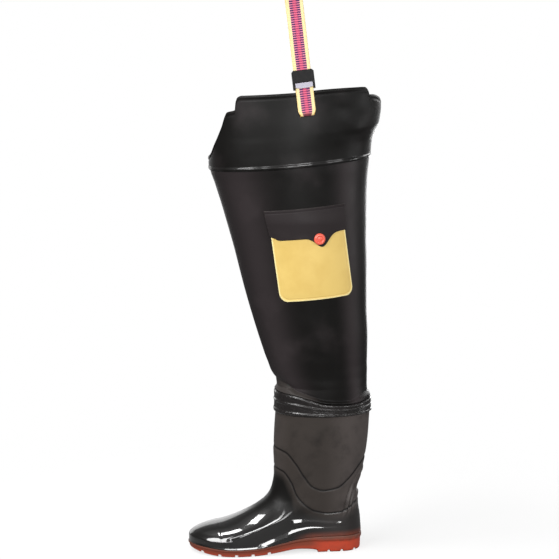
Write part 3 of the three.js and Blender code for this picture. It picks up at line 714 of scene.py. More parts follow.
def sole_finish():
    """Clear red-orange rubber at the heel and the lugs, browner up the waist and forefoot, with a dull brown
    band where the upper was moulded on."""
    f = Finish("moulded_sole_rubber", specular_ior_level=0.25)
    _, y, z = f.places()
    height = f.attribute("height")
    cloud = f.noise(22, 3)
    blotch = f.noise(6, 3)
    fine = f.noise(1.2, 2)
    fore = y.step(-30, -62)
    tone = f.blend(SOLE_RED, SOLE_BROWN, fore * (0.3 + height.step(0.05, 0.5) * 0.6))
    tone = f.blend(tone, SOLE_BROWN, cloud.step(0.5, 0.8) * 0.3)
    top = height + (blotch - 0.5) * 0.3
    tone = f.blend(tone, SOLE_DULL, (1 - fore) * top.step(0.55, 0.95) * 0.9 + fore * top.step(0.7, 1) * 0.6)
    # Painted shade: the sole darkens over its lowest 2.5 mm, next to the floor
    tone = f.blend(tone, SOLE_FLOOR_SHADE, z.step(2.5, 0) * 0.5)
    f.set(base_color=tone, roughness=0.45 + fine * 0.1)
    f.relief(fine * 0.05 + cloud * 0.1)
    return f.material


def pocket_finish():
    """Yellow vinyl with a pale line round its welded edge."""
    f = Finish("pocket_vinyl", specular_ior_level=0.4)
    edge = f.attribute("edge")
    cloud = f.noise(40, 3)
    grain = f.noise(0.8, 2)
    tone = f.blend(POCKET_YELLOW, POCKET_DEEP, cloud.step(0.4, 0.75) * 0.6)
    tone = f.blend(tone, POCKET_PALE, edge.step(2.8, 1.4))
    f.set(base_color=tone, roughness=0.42 + grain * 0.1)
    f.relief(grain * 0.04 + cloud * 0.2)
    return f.material


def snap_finish():
    f = Finish("snap_cap", specular_ior_level=0.5)
    fine = f.noise(0.7, 2)
    tone = f.blend(SNAP_RED, SNAP_DEEP, fine.step(0.4, 0.8) * 0.4)
    f.set(base_color=tone, roughness=0.3 + fine * 0.1)
    f.relief(fine * 0.03)
    return f.material


# Millimetres from one purple bar, cross thread or raised rib of the webbing to the next
BAR_PITCH = 3.9
THREAD_PITCH = 1.3
RIB_PITCH = 2.8


def webbing_finish():
    """Woven strap: cream edges, a ladder of purple bars between them, and a pink-red middle, with ribs
    across it."""
    f = Finish("woven_strap", specular_ior_level=0.3)
    across = abs(f.attribute("across"))
    run = f.attribute("run")
    bars = (run * (2 * np.pi / BAR_PITCH)).sin()
    ribs = (run * (2 * np.pi / THREAD_PITCH)).sin()
    thread = f.noise(0.5, 2)
    patchy = f.noise(9, 2)
    bend = f.attribute("bend")
    tone = f.blend(STRAP_PINK, STRAP_ROSE, bars.step(0, 0.9) * (0.3 + across.step(3, 6) * 0.5))
    ladder = across.step(1.8, 3.6) * (0.15 + bars.step(0.5, -0.3) * 0.85)
    middle = across.step(4.8, 2) * bars.step(-0.3, -0.9) * (0.35 + patchy * 0.5)
    tone = f.blend(tone, STRAP_PURPLE, ladder.most(middle))
    notches = across.step(9.6, 8.9) * bars.step(0.2, -0.4) * 0.6
    tone = f.blend(tone, STRAP_CREAM, across.step(8.7, 9.5) * (1 - notches))
    tone = f.blend(tone, STRAP_GOLD, across.step(12.8, 14.8) * (0.35 + bend * 0.6) + bend * 0.3)
    # Painted shade: the middle darkens to wine where the strap bends round into the slot
    tone = f.blend(tone, STRAP_WINE_AND_BEND_SHADE, bend.step(0.25, 0.9) * across.step(8.8, 7) * 0.85)
    tone = f.blend(tone, STRAP_WINE_AND_BEND_SHADE, thread.step(0.6, 0.9) * 0.2)
    f.set(base_color=tone, roughness=0.75 + thread * 0.15)
    f.relief(ribs * 0.08 + bars * 0.06 + thread * 0.06)
    return f.material


def buckle_finish():
    f = Finish("moulded_buckle", specular_ior_level=0.12)
    fine = f.noise(0.6, 2)
    cloud = f.noise(8, 2)
    tone = f.blend(BUCKLE_BLACK, BUCKLE_WORN, cloud.step(0.4, 0.8))
    f.set(base_color=tone, roughness=0.46 + fine * 0.14)
    f.relief(fine * 0.04)
    return f.material


def bar_finish():
    # Painted highlight: the black bar coloured pale lilac-grey, streaked along its length
    f = Finish("buckle_bar_painted_highlight", metallic=0.3)
    highlight_streaks = f.noise(0.5, 2, 0.5, (1, 12, 1))
    f.set(base_color=f.blend(BAR_HIGHLIGHT_GREY, BAR_HIGHLIGHT_PALE, highlight_streaks), roughness=0.35 + highlight_streaks * 0.15)
    f.relief(highlight_streaks * 0.03)
    return f.material


def insole_finish():
    f = Finish("insole_fabric", specular_ior_level=0.2)
    felt = f.noise(1.2, 4, 0.7)
    f.set(base_color=f.blend(FELT_DARK, FELT_PALE, felt), roughness=0.85 + felt * 0.1)
    f.relief(felt * 0.2)
    return f.material


# The boot's lines on its sides: place along the foot, height
COLLAR_LINE = [
    (-125, 193), (-103, 187), (-85, 167), (-70, 143), (-53, 123), (-35, 117), (-9, 121), (11, 136), (30, 157),
    (45, 172), (60, 178),
]
FOOT_LINE = [
    (-125, 156), (-106, 150), (-92, 131), (-82, 107), (-69, 91), (-49, 78), (-25, 73), (-3, 75), (16, 84),
    (32, 95), (50, 100),
]

# Shelves that catch the light: place along the foot, height, width of the shelf, its slope in degrees
UPPER_SHELF = [
    (-96, 60, 7, 24), (-86, 61.5, 8, 25), (-76, 62, 7.5, 25), (-66, 61.7, 6.6, 25), (-49, 60.3, 5.6, 25),
    (-33, 58.4, 5, 24), (-16, 56.8, 4.6, 23), (-2, 56, 4, 22), (8, 56, 3, 22),
]
WAIST_SHELF = [
    (-158, 17.5, 4, 24), (-146, 21, 5.4, 23), (-136, 24.5, 7, 22), (-126, 28, 8.4, 20), (-116, 31.5, 9, 18),
    (-108, 34.5, 9, 18), (-100, 38, 8, 21), (-90, 42.5, 6.4, 24), (-75, 45.8, 4.6, 25), (-56, 48, 4, 25),
    (-20, 47.5, 3.6, 25), (4, 47, 3, 25),
]
TOE_SHELF = [
    (-250, 31.5, 3.6, -1), (-240, 31.3, 4, -1), (-234, 31.2, 4, -1), (-228, 31, 4, 0.5), (-222, 31, 4, 3),
    (-216, 31, 4, 5.5), (-210, 31, 4, 9), (-204, 31, 4, 13), (-196, 31, 3, 17),
]
TOE_LEDGE = [
    (-250, 28.2, 3, 14), (-240, 28.2, 3, 14), (-234, 28.2, 3, 11.5), (-228, 28.2, 3, 9), (-216, 28.2, 3, 8),
    (-208, 28.2, 3, 12), (-200, 28.2, 3, 16),
]

# Creases at the heel: height, place along the foot
HEEL_CREASES = [
    [(60, -3), (75, 3), (99, 9), (123, 18), (142, 29), (158, 42)],
    [(60, 5), (70, 9), (90, 13), (110, 19), (130, 26), (146, 38)],
    [(64, 14), (77, 17), (93, 21), (103, 25), (122, 34)],
]

# Heights and widths of the lines, in millimetres
GROOVE_DEPTH = 1.3
GROOVE_WIDTH = 1.9
GROOVE_STEP = 0.6
CREASE_RIDGE = 2.8
CREASE_GROOVE = 2.3
CRUMPLE = 1.1


def from_line(rows, y, z):
    """Distance above a line z(y), square to it: the height over it by the cosine of its slope."""
    height = curve(rows, y)[0]
    slope = (curve(rows, y + 1)[0] - curve(rows, y - 1)[0]) / 2
    return (z - height) / np.sqrt(1 + slope**2)


def along_line(rows, y, fade):
    """1 over the length of a line, easing to 0 within `fade` of both ends."""
    return ease((y - rows[0][0]) / fade) * ease((rows[-1][0] - y) / fade)


def shelf(rows, y, z, fade, skirt):
    """A shelf along a line: over its width the surface steps in upwards at its slope, and below it stands out
    and runs back to the skin over the skirt."""
    _, width, slope = curve(rows, y)
    rise = width * np.tan(np.radians(slope))
    over = from_line(rows, y, z) + width / 2
    below = ease((over + skirt) / skirt)
    return rise * below * (1 - ramp(over / width)) * along_line(rows, y, fade)


def boot_relief(points):
    """Height of the boot's grooves, steps, swells and creases over its plain skin, in millimetres."""
    y, z = points[..., 1], points[..., 2]
    collar = from_line(COLLAR_LINE, y, z)
    foot = from_line(FOOT_LINE, y, z)
    height = 0
    for line in (collar, foot):
        height = height - GROOVE_DEPTH * bell(line, GROOVE_WIDTH) + GROOVE_STEP * ease((1.5 - line) / 3)
    height = height + shelf(UPPER_SHELF, y, z, 8, 9) + shelf(WAIST_SHELF, y, z, 14, 14)
    height = height + shelf(TOE_SHELF, y, z, 8, 9) + shelf(TOE_LEDGE, y, z, 8, 5)
    above = z - sole_top(along_foot(y))
    forward = ease((-62 - y) / 50)
    height = height + BEAD_LIP * ease((above + 0.2) / 1.2) * (1 - ramp((above - 1) / 3.2)) * forward
    for rows in HEEL_CREASES:
        rows = np.array(rows, float)
        beside = y - curve(rows, z)[0]
        fade = ease((z - rows[0, 0] - 2) / 22) * ease((rows[-1, 0] - z) / 14)
        height = height + fade * (CREASE_RIDGE * bell(beside - 4, 2.8) - CREASE_GROOVE * bell(beside, 2.2))
    crumple = bell(y + 3, 9) * bell(z - 54, 6)
    return height + CRUMPLE * crumple * waves(y / 3.2, z / 2.6, 40)


def boot_mesh():
    """Wall of the boot: its skin with the relief, a rim under the band, and an inner skin one wall further
    in."""
    columns = 400
    turn = np.arange(columns) / columns
    shaft_levels = np.linspace(3, BAND_LEVEL, 120)[1:]
    levels = np.concatenate([np.linspace(0, 1.6, 34), np.linspace(1.6, 3, 24)[1:], shaft_levels])
    t, level = np.meshgrid(turn, levels)
    outer = boot_skin(t, level)
    clear = ease((level - 0.05) / 0.2) * ease((BAND_LEVEL - level) / 0.6)
    outer = outer + normals(boot_skin, t, level) * (boot_relief(outer) * clear)[..., None]
    inner_levels = np.concatenate([[0.06], np.linspace(0.5, 3, 8), np.linspace(3, BAND_LEVEL, 34)[1:]])
    ti, li = np.meshgrid(turn, inner_levels)
    inner = off_skin(boot_skin, ti, li, np.full(ti.shape, -BOOT_WALL))
    inner[0] = off_skin(boot_skin, ti[0], li[0], np.full(columns, -BOOT_WALL), flat=True)
    inner[0, :, 2] = outer[0, :, 2]
    _, along = half_turn(turn)
    top = BOOT_HEIGHT + curve(BAND_LINE, along)[0] * BAND_HEIGHT - BAND_THICK
    rim = [shaft_ring(turn, 0, top), shaft_ring(turn, -BOOT_WALL, top)]
    points = np.concatenate([outer, [rim[0]], [rim[1]], inner[::-1]])
    y, z = points[..., 1], points[..., 2]
    attributes = {
        "inside": marked(points, len(levels) + 1),
        "foot_line": from_line(FOOT_LINE, y, z),
        "collar_line": from_line(COLLAR_LINE, y, z),
        "sole_edge": z - sole_top(along_foot(y)),
    }
    return mesh_of("boot_shell", points, grid_faces(len(points), columns, along=True), attributes)


def shaft_ring(turn, by, heights):
    """A level ring let out from the top of the boot, at the heights given."""
    level = np.full(np.shape(turn), float(BAND_LEVEL))
    by = np.broadcast_to(np.asarray(by, float), np.shape(turn))
    ring = off_skin(boot_skin, turn, level, by, flat=True)
    ring[..., 2] = heights
    return ring


# The band's section from its lower edge: share of its height, share of its thickness, share of the rib
BAND_SECTION = [
    (0, 0.4, 0), (0.05, 1, 0.7), (0.13, 1, 1), (0.24, 1, 0), (0.48, 0.95, 0), (0.56, 1, 0.9), (0.66, 0.9, 0),
    (0.9, 0.95, 0.1), (1, 0.5, 0),
]


def band_mesh():
    """Wall of the band: its section carried round the shaft, with crinkles along its two ribs."""
    columns = 480
    turn = np.arange(columns) / columns
    ups = np.linspace(0, 1, 42)
    out, rib = curve(BAND_SECTION, ups)
    t, up = np.meshgrid(turn, ups)
    _, along = half_turn(t)
    rise = curve(BAND_LINE, along)[0] * BAND_HEIGHT
    crinkle = waves(t * 260, up * 9, 5) * (0.15 + 0.4 * bell(up - 0.9, 0.1) + 0.5 * bell(up - 0.06, 0.08))
    by = GAP + out[:, None] * BAND_THICK + rib[:, None] * BAND_RIB * (1 + 0.3 * waves(t * 60, up * 2, 9))
    by = by + 0.5 * crinkle * ease(up / 0.05) * ease((1 - up) / 0.06)
    outer = shaft_ring(t, by, BOOT_HEIGHT + up * rise)
    inner = shaft_ring(t[[-1, 0]], np.full((2, columns), GAP), BOOT_HEIGHT + (up * rise)[[-1, 0]])
    points = np.concatenate([outer, inner])
    faces = grid_faces(len(points), columns, along=True)
    return mesh_of("joint_band_wall", points, faces, {"inside": marked(points, -2)})


# Top of the leg's roll over the band: place along the foot, height
LEG_FOLD = [(-125, 316), (-111, 312), (-91, 303), (-73, 290), (-52, 279), (-20, 274), (40, 290)]


def leg_relief(points, turn, rise):
    """Folds of the leg's sheet: the roll that rests on the band, broad swells above it, and short creases."""
    y, z = points[..., 1], points[..., 2]
    angle = turn * 2 * np.pi
    over = z - rise
    front = ease((-35 - y) / 40)
    roll = mix(1.2, 4.2, front)
    tall = np.maximum(curve(LEG_FOLD, y)[0] - rise, 6) * 1.15
    stand = ease((over + 0.2) / 2.6) * (1 - ease((over - 0.45 * tall) / (0.65 * tall)))
    height = (BOOT_WALL + GAP + roll) * stand
    height = height - 0.7 * bell(over - tall, 1.8) * front
    high = ease((over - 14) / 30)
    broad = waves(angle * 3, z / 60, 21) * 1.2 + waves(np.cos(angle) * 2.6, z / 26, 33) * 0.4
    crease = waves(angle * 5, z / 7, 12) * 0.8 * bell(z - 330, 26)
    smooth = front * (1 - ease((over - 0.95 * tall) / (0.12 * tall)))
    return height + (broad + crease) * high, smooth


# Rows of the leg's grid in the hem tucked into the boot, and from there to the leg's skin
TUCK_ROWS = 2
TURN_ROWS = 45


def leg_mesh():
    """Wall of the leg: from the hem tucked into the boot, over the band and up the skin to the hip panel's
    seam."""
    columns = 400
    turn = np.arange(columns) / columns
    _, along = half_turn(turn)
    rise = BOOT_HEIGHT + curve(BAND_LINE, along)[0] * BAND_HEIGHT
    t, up = np.meshgrid(turn, np.linspace(LEG_LOW, 1, 190))

    def wall(by):
        skin = off_skin(leg_skin, t, up, np.full(t.shape, float(by)))
        start = shaft_ring(turn, by - BOOT_WALL - GAP, rise - BAND_THICK)
        share = np.linspace(0, 1, TURN_ROWS + 1)[:-1, None] ** 1.6
        between = mix(start, skin[0], (ease(share) * 0.5 + share * 0.5)[..., None])
        between[..., 2] = mix(start[:, 2], skin[0, :, 2], share)
        rows = np.concatenate([between, skin])
        folds, smooth = leg_relief(rows, np.broadcast_to(turn, rows.shape[:2]), rise)
        low_way = normals(boot_skin, turn, turn * 0 + BAND_LEVEL, flat=True)
        way = np.concatenate([np.repeat(low_way[None], TURN_ROWS, 0), normals(leg_skin, t, up)])
        fade = np.concatenate([np.ones((TURN_ROWS, columns)), ease((1 - up) / 0.05)])
        rows = rows + way * (folds * fade)[..., None]
        tuck = [shaft_ring(turn, by - BOOT_WALL - GAP, rise - drop) for drop in (LEG_TUCK, LEG_TUCK / 2)]
        return np.concatenate([tuck, rows]), np.concatenate([smooth[:TUCK_ROWS], smooth])

    outer, smooth = wall(0)
    inner, _ = wall(-LEG_WALL)
    low = TUCK_ROWS + TURN_ROWS
    inner = np.concatenate([inner[:TUCK_ROWS], inner[TUCK_ROWS:low:2], inner[low::4], inner[-1:]])
    points = np.concatenate([outer, inner[::-1]])
    # Painted sheen: lilac bands down the leg towards its front and its back edge
    sheen_bands = 0.9 * bell(along - 0.87, 0.15) + 0.9 * bell(along - 0.17, 0.08)
    attributes = {
        "inside": marked(points, len(outer)),
        "roll": np.concatenate([smooth, np.zeros(inner.shape[:2])]),
        "sheen": np.broadcast_to(sheen_bands, points.shape[:2]),
    }
    return mesh_of("leg_sheet", points, grid_faces(len(points), columns, along=True), attributes)


# The rim of the hip panel: degrees round the hip from the back over the outer side, height over the seam as a
# share of the panel's rise
RIM_LINE = [
    (-180, 0.17), (-60, 0.16), (-45, 0.18), (-28, 0.27), (-12, 0.54), (0, 0.754), (5, 0.825), (10, 0.885),
    (15, 0.927), (20, 0.955), (25, 0.983), (30, 1.002), (36, 1.016), (36.4, 1.06), (37.6, 1.1), (40.4, 1.14),
    (46, 1.152), (76.5, TAB_SHARE), (95.5, 1.165), (132.3, 1.17), (135.6, 1.145), (137, 1.09), (137.8, 0.945),
    (145.5, 0.91), (152, 0.66), (160, 0.43), (170, 0.235), (180, 0.17),
]


# Share of the hem below the seam
HEM_BELOW = 0.7

# Dents in the hip panel's outer side: height, place along the foot, height over the floor, length, width
PANEL_DENTS = [(1.2, 22, 772, 30, 13), (-0.8, 8, 800, 26, 9)]

# Distance from the rim over which swells and dents fade
RIM_FADE = 12


def panel_mesh():
    """Wall of the hip panel: over the leg's top edge with a round hem, and up the hip's skin to the rim."""
    spread = 540
    base = np.arange(spread) / spread * 360
    steps = [np.arange(35.6, 38.2, 0.2), np.arange(135, 138.4, 0.2)]
    angle = np.unique(np.concatenate([base, *steps]).round(3))
    columns = len(angle)
    signed = np.where(angle > 180, angle - 360, angle)
    turn = angle / 360
    rim = curve(RIM_LINE, signed)[0] * PANEL_RISE
    seam = leg_skin(turn, np.ones(columns))[:, 2]
    drop = HEM_HEIGHT * HEM_BELOW

    def rows(heights, bys):
        built = []
        for height, by in zip(heights, bys):
            z = seam + height
            built.append(off_skin(leg_skin, turn, up_at(turn, z), GAP + by))
        return built

    hem = np.linspace(0, 1, 12)
    hem_height = [np.full(columns, -drop + share * HEM_HEIGHT) for share in hem]
    ripple = 1 + 0.25 * waves(turn * 90, turn * 0, 4)
    hem_by = []
    for share in hem:
        rib = HEM_RIB * np.sin(np.pi * share) ** 0.8 * ripple
        hem_by.append(PANEL_WALL * min(1, 0.5 + share * 4) + rib)
    shares = np.linspace(0, 1, 64)[1:]
    start = HEM_HEIGHT - drop
    body_height = [mix(start, rim, share) for share in shares]
    body_by = []
    for share, height in zip(shares, body_height):
        z = seam + height
        y = leg_skin(turn, up_at(turn, z))[:, 1]
        edge = rim - height
        swell = waves(turn * 20, height / 24, 8) * 0.9
        dents = 0.4 * waves(y / 9, z / 8, 19) * ease((y + 50) / 40)
        for out, place_along, place_up, length, width in PANEL_DENTS:
            dents = dents + out * bell(y - place_along, length) * bell(z - place_up, width)
        dents = np.where(signed > 0, dents, 0) * ease(share * 3) * ease(edge / RIM_FADE)
        bead = 0.7 * bell(edge - 3.2, 2.0) - 0.5 * bell(edge - 7.5, 1.5)
        round_off = -0.55 * ease((1.4 - edge) / 1.4)
        swell = swell * ease(share * 4) * ease(edge / RIM_FADE)
        body_by.append(PANEL_WALL + (swell + dents) + bead + round_off)
    outer = rows(hem_height, hem_by) + rows(body_height, body_by)
    inner_shares = np.linspace(0, 1, 20)
    inner_height = [np.full(columns, -drop)] + [rim * share for share in inner_shares]
    inner_by = [np.zeros(columns)]
    for share, height in zip(inner_shares, inner_height[1:]):
        swell = waves(turn * 20, height / 24, 8) * 0.9 * ease(share * 4) * ease((rim - height) / RIM_FADE)
        inner_by.append(swell * ease((height - 6) / 10))
    inner = rows(inner_height, inner_by)
    points = np.array(outer + inner[::-1])
    faces = grid_faces(len(points), columns, along=True)
    attributes = {"inside": marked(points, len(outer)), "hem": marked(points, 0, len(hem))}
    return mesh_of("hip_panel_sheet", points, faces, attributes)


# Pocket and flap
def pocket_lift(y, z):
    """How far the pocket stands off the leg: most along its middle, less towards its sides and bottom."""
    across = (y - POCKET_MIDDLE - PATCH_LEAN * (POCKET_TOP - z)) / (POCKET_WIDTH / 2)
    down = np.clip((POCKET_TOP - z) / POCKET_DEPTH, 0, 1)
    return SKIN_GAP + POCKET_BULGE * np.maximum(0, 1 - across**2) * (1 - down**3)


def patch(name, y, z, lift, thick, edge, attributes):
    """A sheet piece on the leg's outer side, rounded off at its edge, from grids of places, heights and
    lifts."""
    round_off = np.sqrt(np.clip(1 - (1 - np.clip(edge / thick, 0, 1)) ** 2, 0, 1))
    outer = on_leg(y, z, lift + thick * (0.35 + 0.65 * round_off))
    inner = on_leg(y, z, lift)
    points = np.concatenate([outer.reshape(-1, 3), inner.reshape(-1, 3)])
    doubled = {key: np.concatenate([value.ravel(), value.ravel()]) for key, value in attributes.items()}
    return mesh_of(name, points, slab_faces(*y.shape), doubled)


def pocket_mesh():
    """The pocket's sheet: straight at its top, with round corners at its bottom and rows closer together
    there."""
    straight = 0.86
    corner = np.sin(np.linspace(0, np.pi / 2, 61))[1:]
    downs = np.concatenate([np.linspace(0, straight, 90), straight + (1 - straight) * corner])
    share, down = np.meshgrid((1 - np.cos(np.linspace(0, np.pi, 150))) / 2, downs)
    from_bottom = (1 - down) * POCKET_DEPTH
    inset = POCKET_CORNER * (1 - quarter(from_bottom / POCKET_CORNER + 0.03))
    width = POCKET_WIDTH - 2 * inset
    middle = POCKET_MIDDLE + PATCH_LEAN * down * POCKET_DEPTH
    y = middle + (0.5 - share) * width
    z = POCKET_TOP - down * POCKET_DEPTH + SEAM_TILT * (y - middle)
    half = POCKET_WIDTH / 2
    beside = np.maximum(0, np.abs(y - middle) - (half - POCKET_CORNER))
    below = np.maximum(0, POCKET_CORNER - from_bottom)
    edge = np.minimum(POCKET_CORNER - np.hypot(beside, below), down * POCKET_DEPTH + 20)
    swell = 0.5 * waves(y / 22, z / 22, 14) * ease((edge - 4) / 10)
    weld = -0.45 * bell(edge - 4.2, 1.2)
    lift = pocket_lift(y, z) + swell
    return patch("pocket_sheet", y, z, lift + weld, POCKET_WALL, np.maximum(edge, 0), {"edge": edge})


def flap_drop(share):
    """How far the flap's lower edge hangs under its plain depth: a point at the snap and a slow wave."""
    wave = 0.3 * FLAP_POINT * ease((share - 0.3) * 3) * ease((1 - share) * 8)
    return FLAP_POINT * bell(share - SNAP_SHARE, 0.12) + wave


def flap_mesh():
    """The flap's sheet: flat on the leg at its top, and lifted over the pocket's edge below it."""
    share, down = np.meshgrid(np.linspace(0, 1, 220), np.linspace(0, 1, 80))
    drop = down * (FLAP_DEPTH + flap_drop(share))
    width = mix(FLAP_WIDTH, POCKET_WIDTH + 3, down)
    middle = POCKET_MIDDLE - PATCH_LEAN * (FLAP_HANG - POCKET_TOP)
    y = middle + PATCH_LEAN * drop + (0.5 - share) * width
    z = FLAP_HANG - drop + SEAM_TILT * (y - middle)
    over = ease((FLAP_HANG - z + 2) / (FLAP_HANG - POCKET_TOP))
    edge = np.minimum(np.minimum(share, 1 - share) * width, (1 - down) * (FLAP_DEPTH + flap_drop(share)))
    swell = 0.6 * waves(y / 18, z / 14, 17) * ease(edge / 10) * ease(drop / 14)
    weld = -0.35 * bell(drop - 5, 1.1)
    lift = mix(SKIN_GAP, pocket_lift(y, z) + POCKET_WALL + GAP + 0.4, over) + swell * over + weld
    full_edge = np.minimum(edge, drop + 0.2)
    attributes = {"inside": np.zeros(y.shape), "edge": full_edge}
    return patch("pocket_flap_sheet", y, z, lift, FLAP_WALL, full_edge, attributes)


# Snap: radius and height of its profile
SNAP_PROFILE = [
    (0, 0.9, 0), (1, 1.0, 0.1), (2, 1.0, 0.35), (3, 0.92, 0.75), (4, 0.8, 0.95), (5, 0.7, 1.0), (6, 0.6, 0.9),
    (7, 0.52, 0.72), (8, 0.4, 0.74), (9, 0.2, 0.84), (10, 0, 0.86),
]


def snap_mesh():
    """Low dome with a pressed ring: its profile turned about the line that stands out of the leg."""
    columns = 72
    radius, height = curve(SNAP_PROFILE, np.linspace(0, 10, 50))
    radius = np.concatenate([[0], radius]) * SNAP_DIAMETER / 2
    height = np.concatenate([[0], height]) * SNAP_HEIGHT
    seat_lift = pocket_lift(SNAP_Y, SNAP_Z) + POCKET_WALL + FLAP_WALL + 3 * GAP
    seat = on_leg(SNAP_Y, SNAP_Z, seat_lift)
    out = seat - on_leg(SNAP_Y, SNAP_Z, 0)
    out = out / np.linalg.norm(out)
    level = np.cross((0, 0, 1), out)
    level = level / np.linalg.norm(level)
    upward = np.cross(out, level)
    angle = np.arange(columns) / columns * 2 * np.pi
    rim = np.cos(angle)[:, None] * level + np.sin(angle)[:, None] * upward
    points = seat + radius[:, None, None] * rim + height[:, None, None] * out
    return mesh_of("snap_cap", points, grid_faces(*points.shape[:2]))


# Strap and buckle, in the strap's own frame: out of the panel, along the foot, up from the slot
TAB_TOP = SEAM_HEIGHT + TAB_SHARE * PANEL_RISE
MIDDLE_WALL = GAP + PANEL_WALL / 2
STRAP_FOOT = on_leg(STRAP_PLACE, TAB_TOP - SLOT_DROP, MIDDLE_WALL)
TAB_POINT = on_leg(STRAP_PLACE + STRAP_LEAN * SLOT_DROP, TAB_TOP, MIDDLE_WALL)
BESIDE_FOOT = on_leg(STRAP_PLACE + STRAP_WIDTH / 2, TAB_TOP - SLOT_DROP, MIDDLE_WALL)
AHEAD_OF_FOOT = on_leg(STRAP_PLACE - STRAP_WIDTH / 2, TAB_TOP - SLOT_DROP, MIDDLE_WALL)
PANEL_SLOPE = (TAB_POINT[0] - STRAP_FOOT[0]) / SLOT_DROP
PANEL_TURN = (AHEAD_OF_FOOT[0] - BESIDE_FOOT[0]) / (BESIDE_FOOT[1] - AHEAD_OF_FOOT[1])
FRONT_RUN = PANEL_WALL / 2 + STRAP_THICK / 2 + STRAP_CLEAR
BUCKLE_FOOT = SLOT_DROP + BUCKLE_RISE
BAR_TOP = BUCKLE_FOOT + BUCKLE_HEIGHT * BAR_SHARE
SEWN = SLOT_DROP + STRAP_REACH
BEND_LOW = -2.5
STRAP_ROUTE = [
    # out, up
    (FRONT_RUN, BAR_TOP - 1), (FRONT_RUN, 20), (FRONT_RUN, 4), (FRONT_RUN * 0.97, 0.2),
    (FRONT_RUN * 0.62, -2.2), (0, BEND_LOW), (-FRONT_RUN * 0.62, -1.6), (-FRONT_RUN * 0.97, 1),
    (-FRONT_RUN, 6), (-FRONT_RUN, 22), (-FRONT_RUN, SLOT_DROP + 1), (-1.2, BUCKLE_FOOT + 12),
    (-1, BUCKLE_FOOT + BUCKLE_HEIGHT),
    (-0.4, BUCKLE_FOOT + BUCKLE_HEIGHT + 30), (0.6, SEWN - 40), (1.1, SEWN - 12), (1.1, SEWN),
    (2.6, SEWN + LOOP_HEIGHT * 0.2), (6.5, SEWN + LOOP_HEIGHT * 0.5), (6.5, SEWN + LOOP_HEIGHT * 0.8),
    (3.8, SEWN + LOOP_HEIGHT * 0.96), (0, SEWN + LOOP_HEIGHT), (-3.8, SEWN + LOOP_HEIGHT * 0.96),
    (-6.5, SEWN + LOOP_HEIGHT * 0.8), (-6.5, SEWN + LOOP_HEIGHT * 0.5), (-2.6, SEWN + LOOP_HEIGHT * 0.2),
    (-1.1, SEWN), (-1.1, SEWN - 12),
]


def strap_frame(points):
    """Turns points of the strap's own frame about X, Y and Z as the panel leans there, and moves them to its
    foot."""
    ax, ay, az = np.arctan(-STRAP_LEAN), np.arctan(PANEL_SLOPE), np.arctan(PANEL_TURN)
    about_x = np.array([[1, 0, 0], [0, np.cos(ax), -np.sin(ax)], [0, np.sin(ax), np.cos(ax)]])
    about_y = np.array([[np.cos(ay), 0, np.sin(ay)], [0, 1, 0], [-np.sin(ay), 0, np.cos(ay)]])
    about_z = np.array([[np.cos(az), -np.sin(az), 0], [np.sin(az), np.cos(az), 0], [0, 0, 1]])
    return points @ (about_x @ about_y @ about_z).T + STRAP_FOOT


def smooth_route(route, count):
    """Points at even steps along a route, on a smooth curve through its corners."""
    route = np.array(route, float)
    before = np.vstack([2 * route[0] - route[1], route[:-1]])
    after = np.vstack([route[1:], 2 * route[-1] - route[-2]])
    length = np.concatenate([[0], np.cumsum(np.linalg.norm(np.diff(route, axis=0), axis=1))])
    chord = np.linalg.norm(after - route, axis=1) + np.linalg.norm(route - before, axis=1)
    tangent = (after - before) / chord[:, None]
    at = np.linspace(0, length[-1], count)
    i = np.clip(np.searchsorted(length, at) - 1, 0, len(route) - 2)
    span = (length[i + 1] - length[i])[:, None]
    t = (at - length[i])[:, None] / span
    return hermite(t, span, route[i], route[i + 1], tangent[i], tangent[i + 1]), at


def strap_mesh():
    """Webbing: a flat section with rounded edges carried along the route, its thickness swelling at every
    rib."""
    middle, run = smooth_route(STRAP_ROUTE, 760)
    way = np.gradient(middle, axis=0)
    way = way / np.linalg.norm(way, axis=1, keepdims=True)
    off = np.stack([way[:, 1], -way[:, 0]], 1)
    count = 28
    across = np.sin(np.linspace(-np.pi / 2, np.pi / 2, count)) * STRAP_WIDTH / 2
    face = np.concatenate([across, across[::-1]])
    side = np.concatenate([np.ones(count), -np.ones(count)])
    edge = np.clip((STRAP_WIDTH / 2 - np.abs(face)) / 0.9, 0, 1)
    thick = STRAP_THICK / 2 * np.sqrt(1 - (1 - edge) ** 2 * 0.75)
    rib = 1 + 0.07 * np.sin(run * 2 * np.pi / RIB_PITCH)
    by = side * thick * rib[:, None]
    flat = middle[:, None, :] + off[:, None, :] * by[..., None]
    bend = bell(middle[:, 1] - BEND_LOW, 5) * (run < 200)
    points = np.stack([flat[..., 0], face * (1 - 0.2 * bend[:, None]), flat[..., 1]], -1)
    points = strap_frame(points.reshape(-1, 3)).reshape(points.shape)
    rows, columns = points.shape[:2]
    index = np.arange(columns)
    across_from = (columns - 1 - index) % columns
    pairs = np.stack([index, np.roll(index, -1), (columns - 2 - index) % columns, across_from], -1)
    ends = pairs[:count - 1]
    faces = np.concatenate([grid_faces(rows, columns), ends, ends + (rows - 1) * columns])
    attributes = {
        "across": np.broadcast_to(face, by.shape),
        "run": np.broadcast_to(run[:, None], by.shape),
        "bend": np.broadcast_to(bend[:, None], by.shape),
    }
    return mesh_of("strap_webbing", points, faces, attributes, sharp=60)


# The buckle's two legs beside the strap, and its back just in front of the strap's doubled run
LEG_WIDE = (BUCKLE_WIDTH - STRAP_WIDTH) / 2 - GAP
BUCKLE_BACK = -1 + STRAP_THICK / 2 + GAP


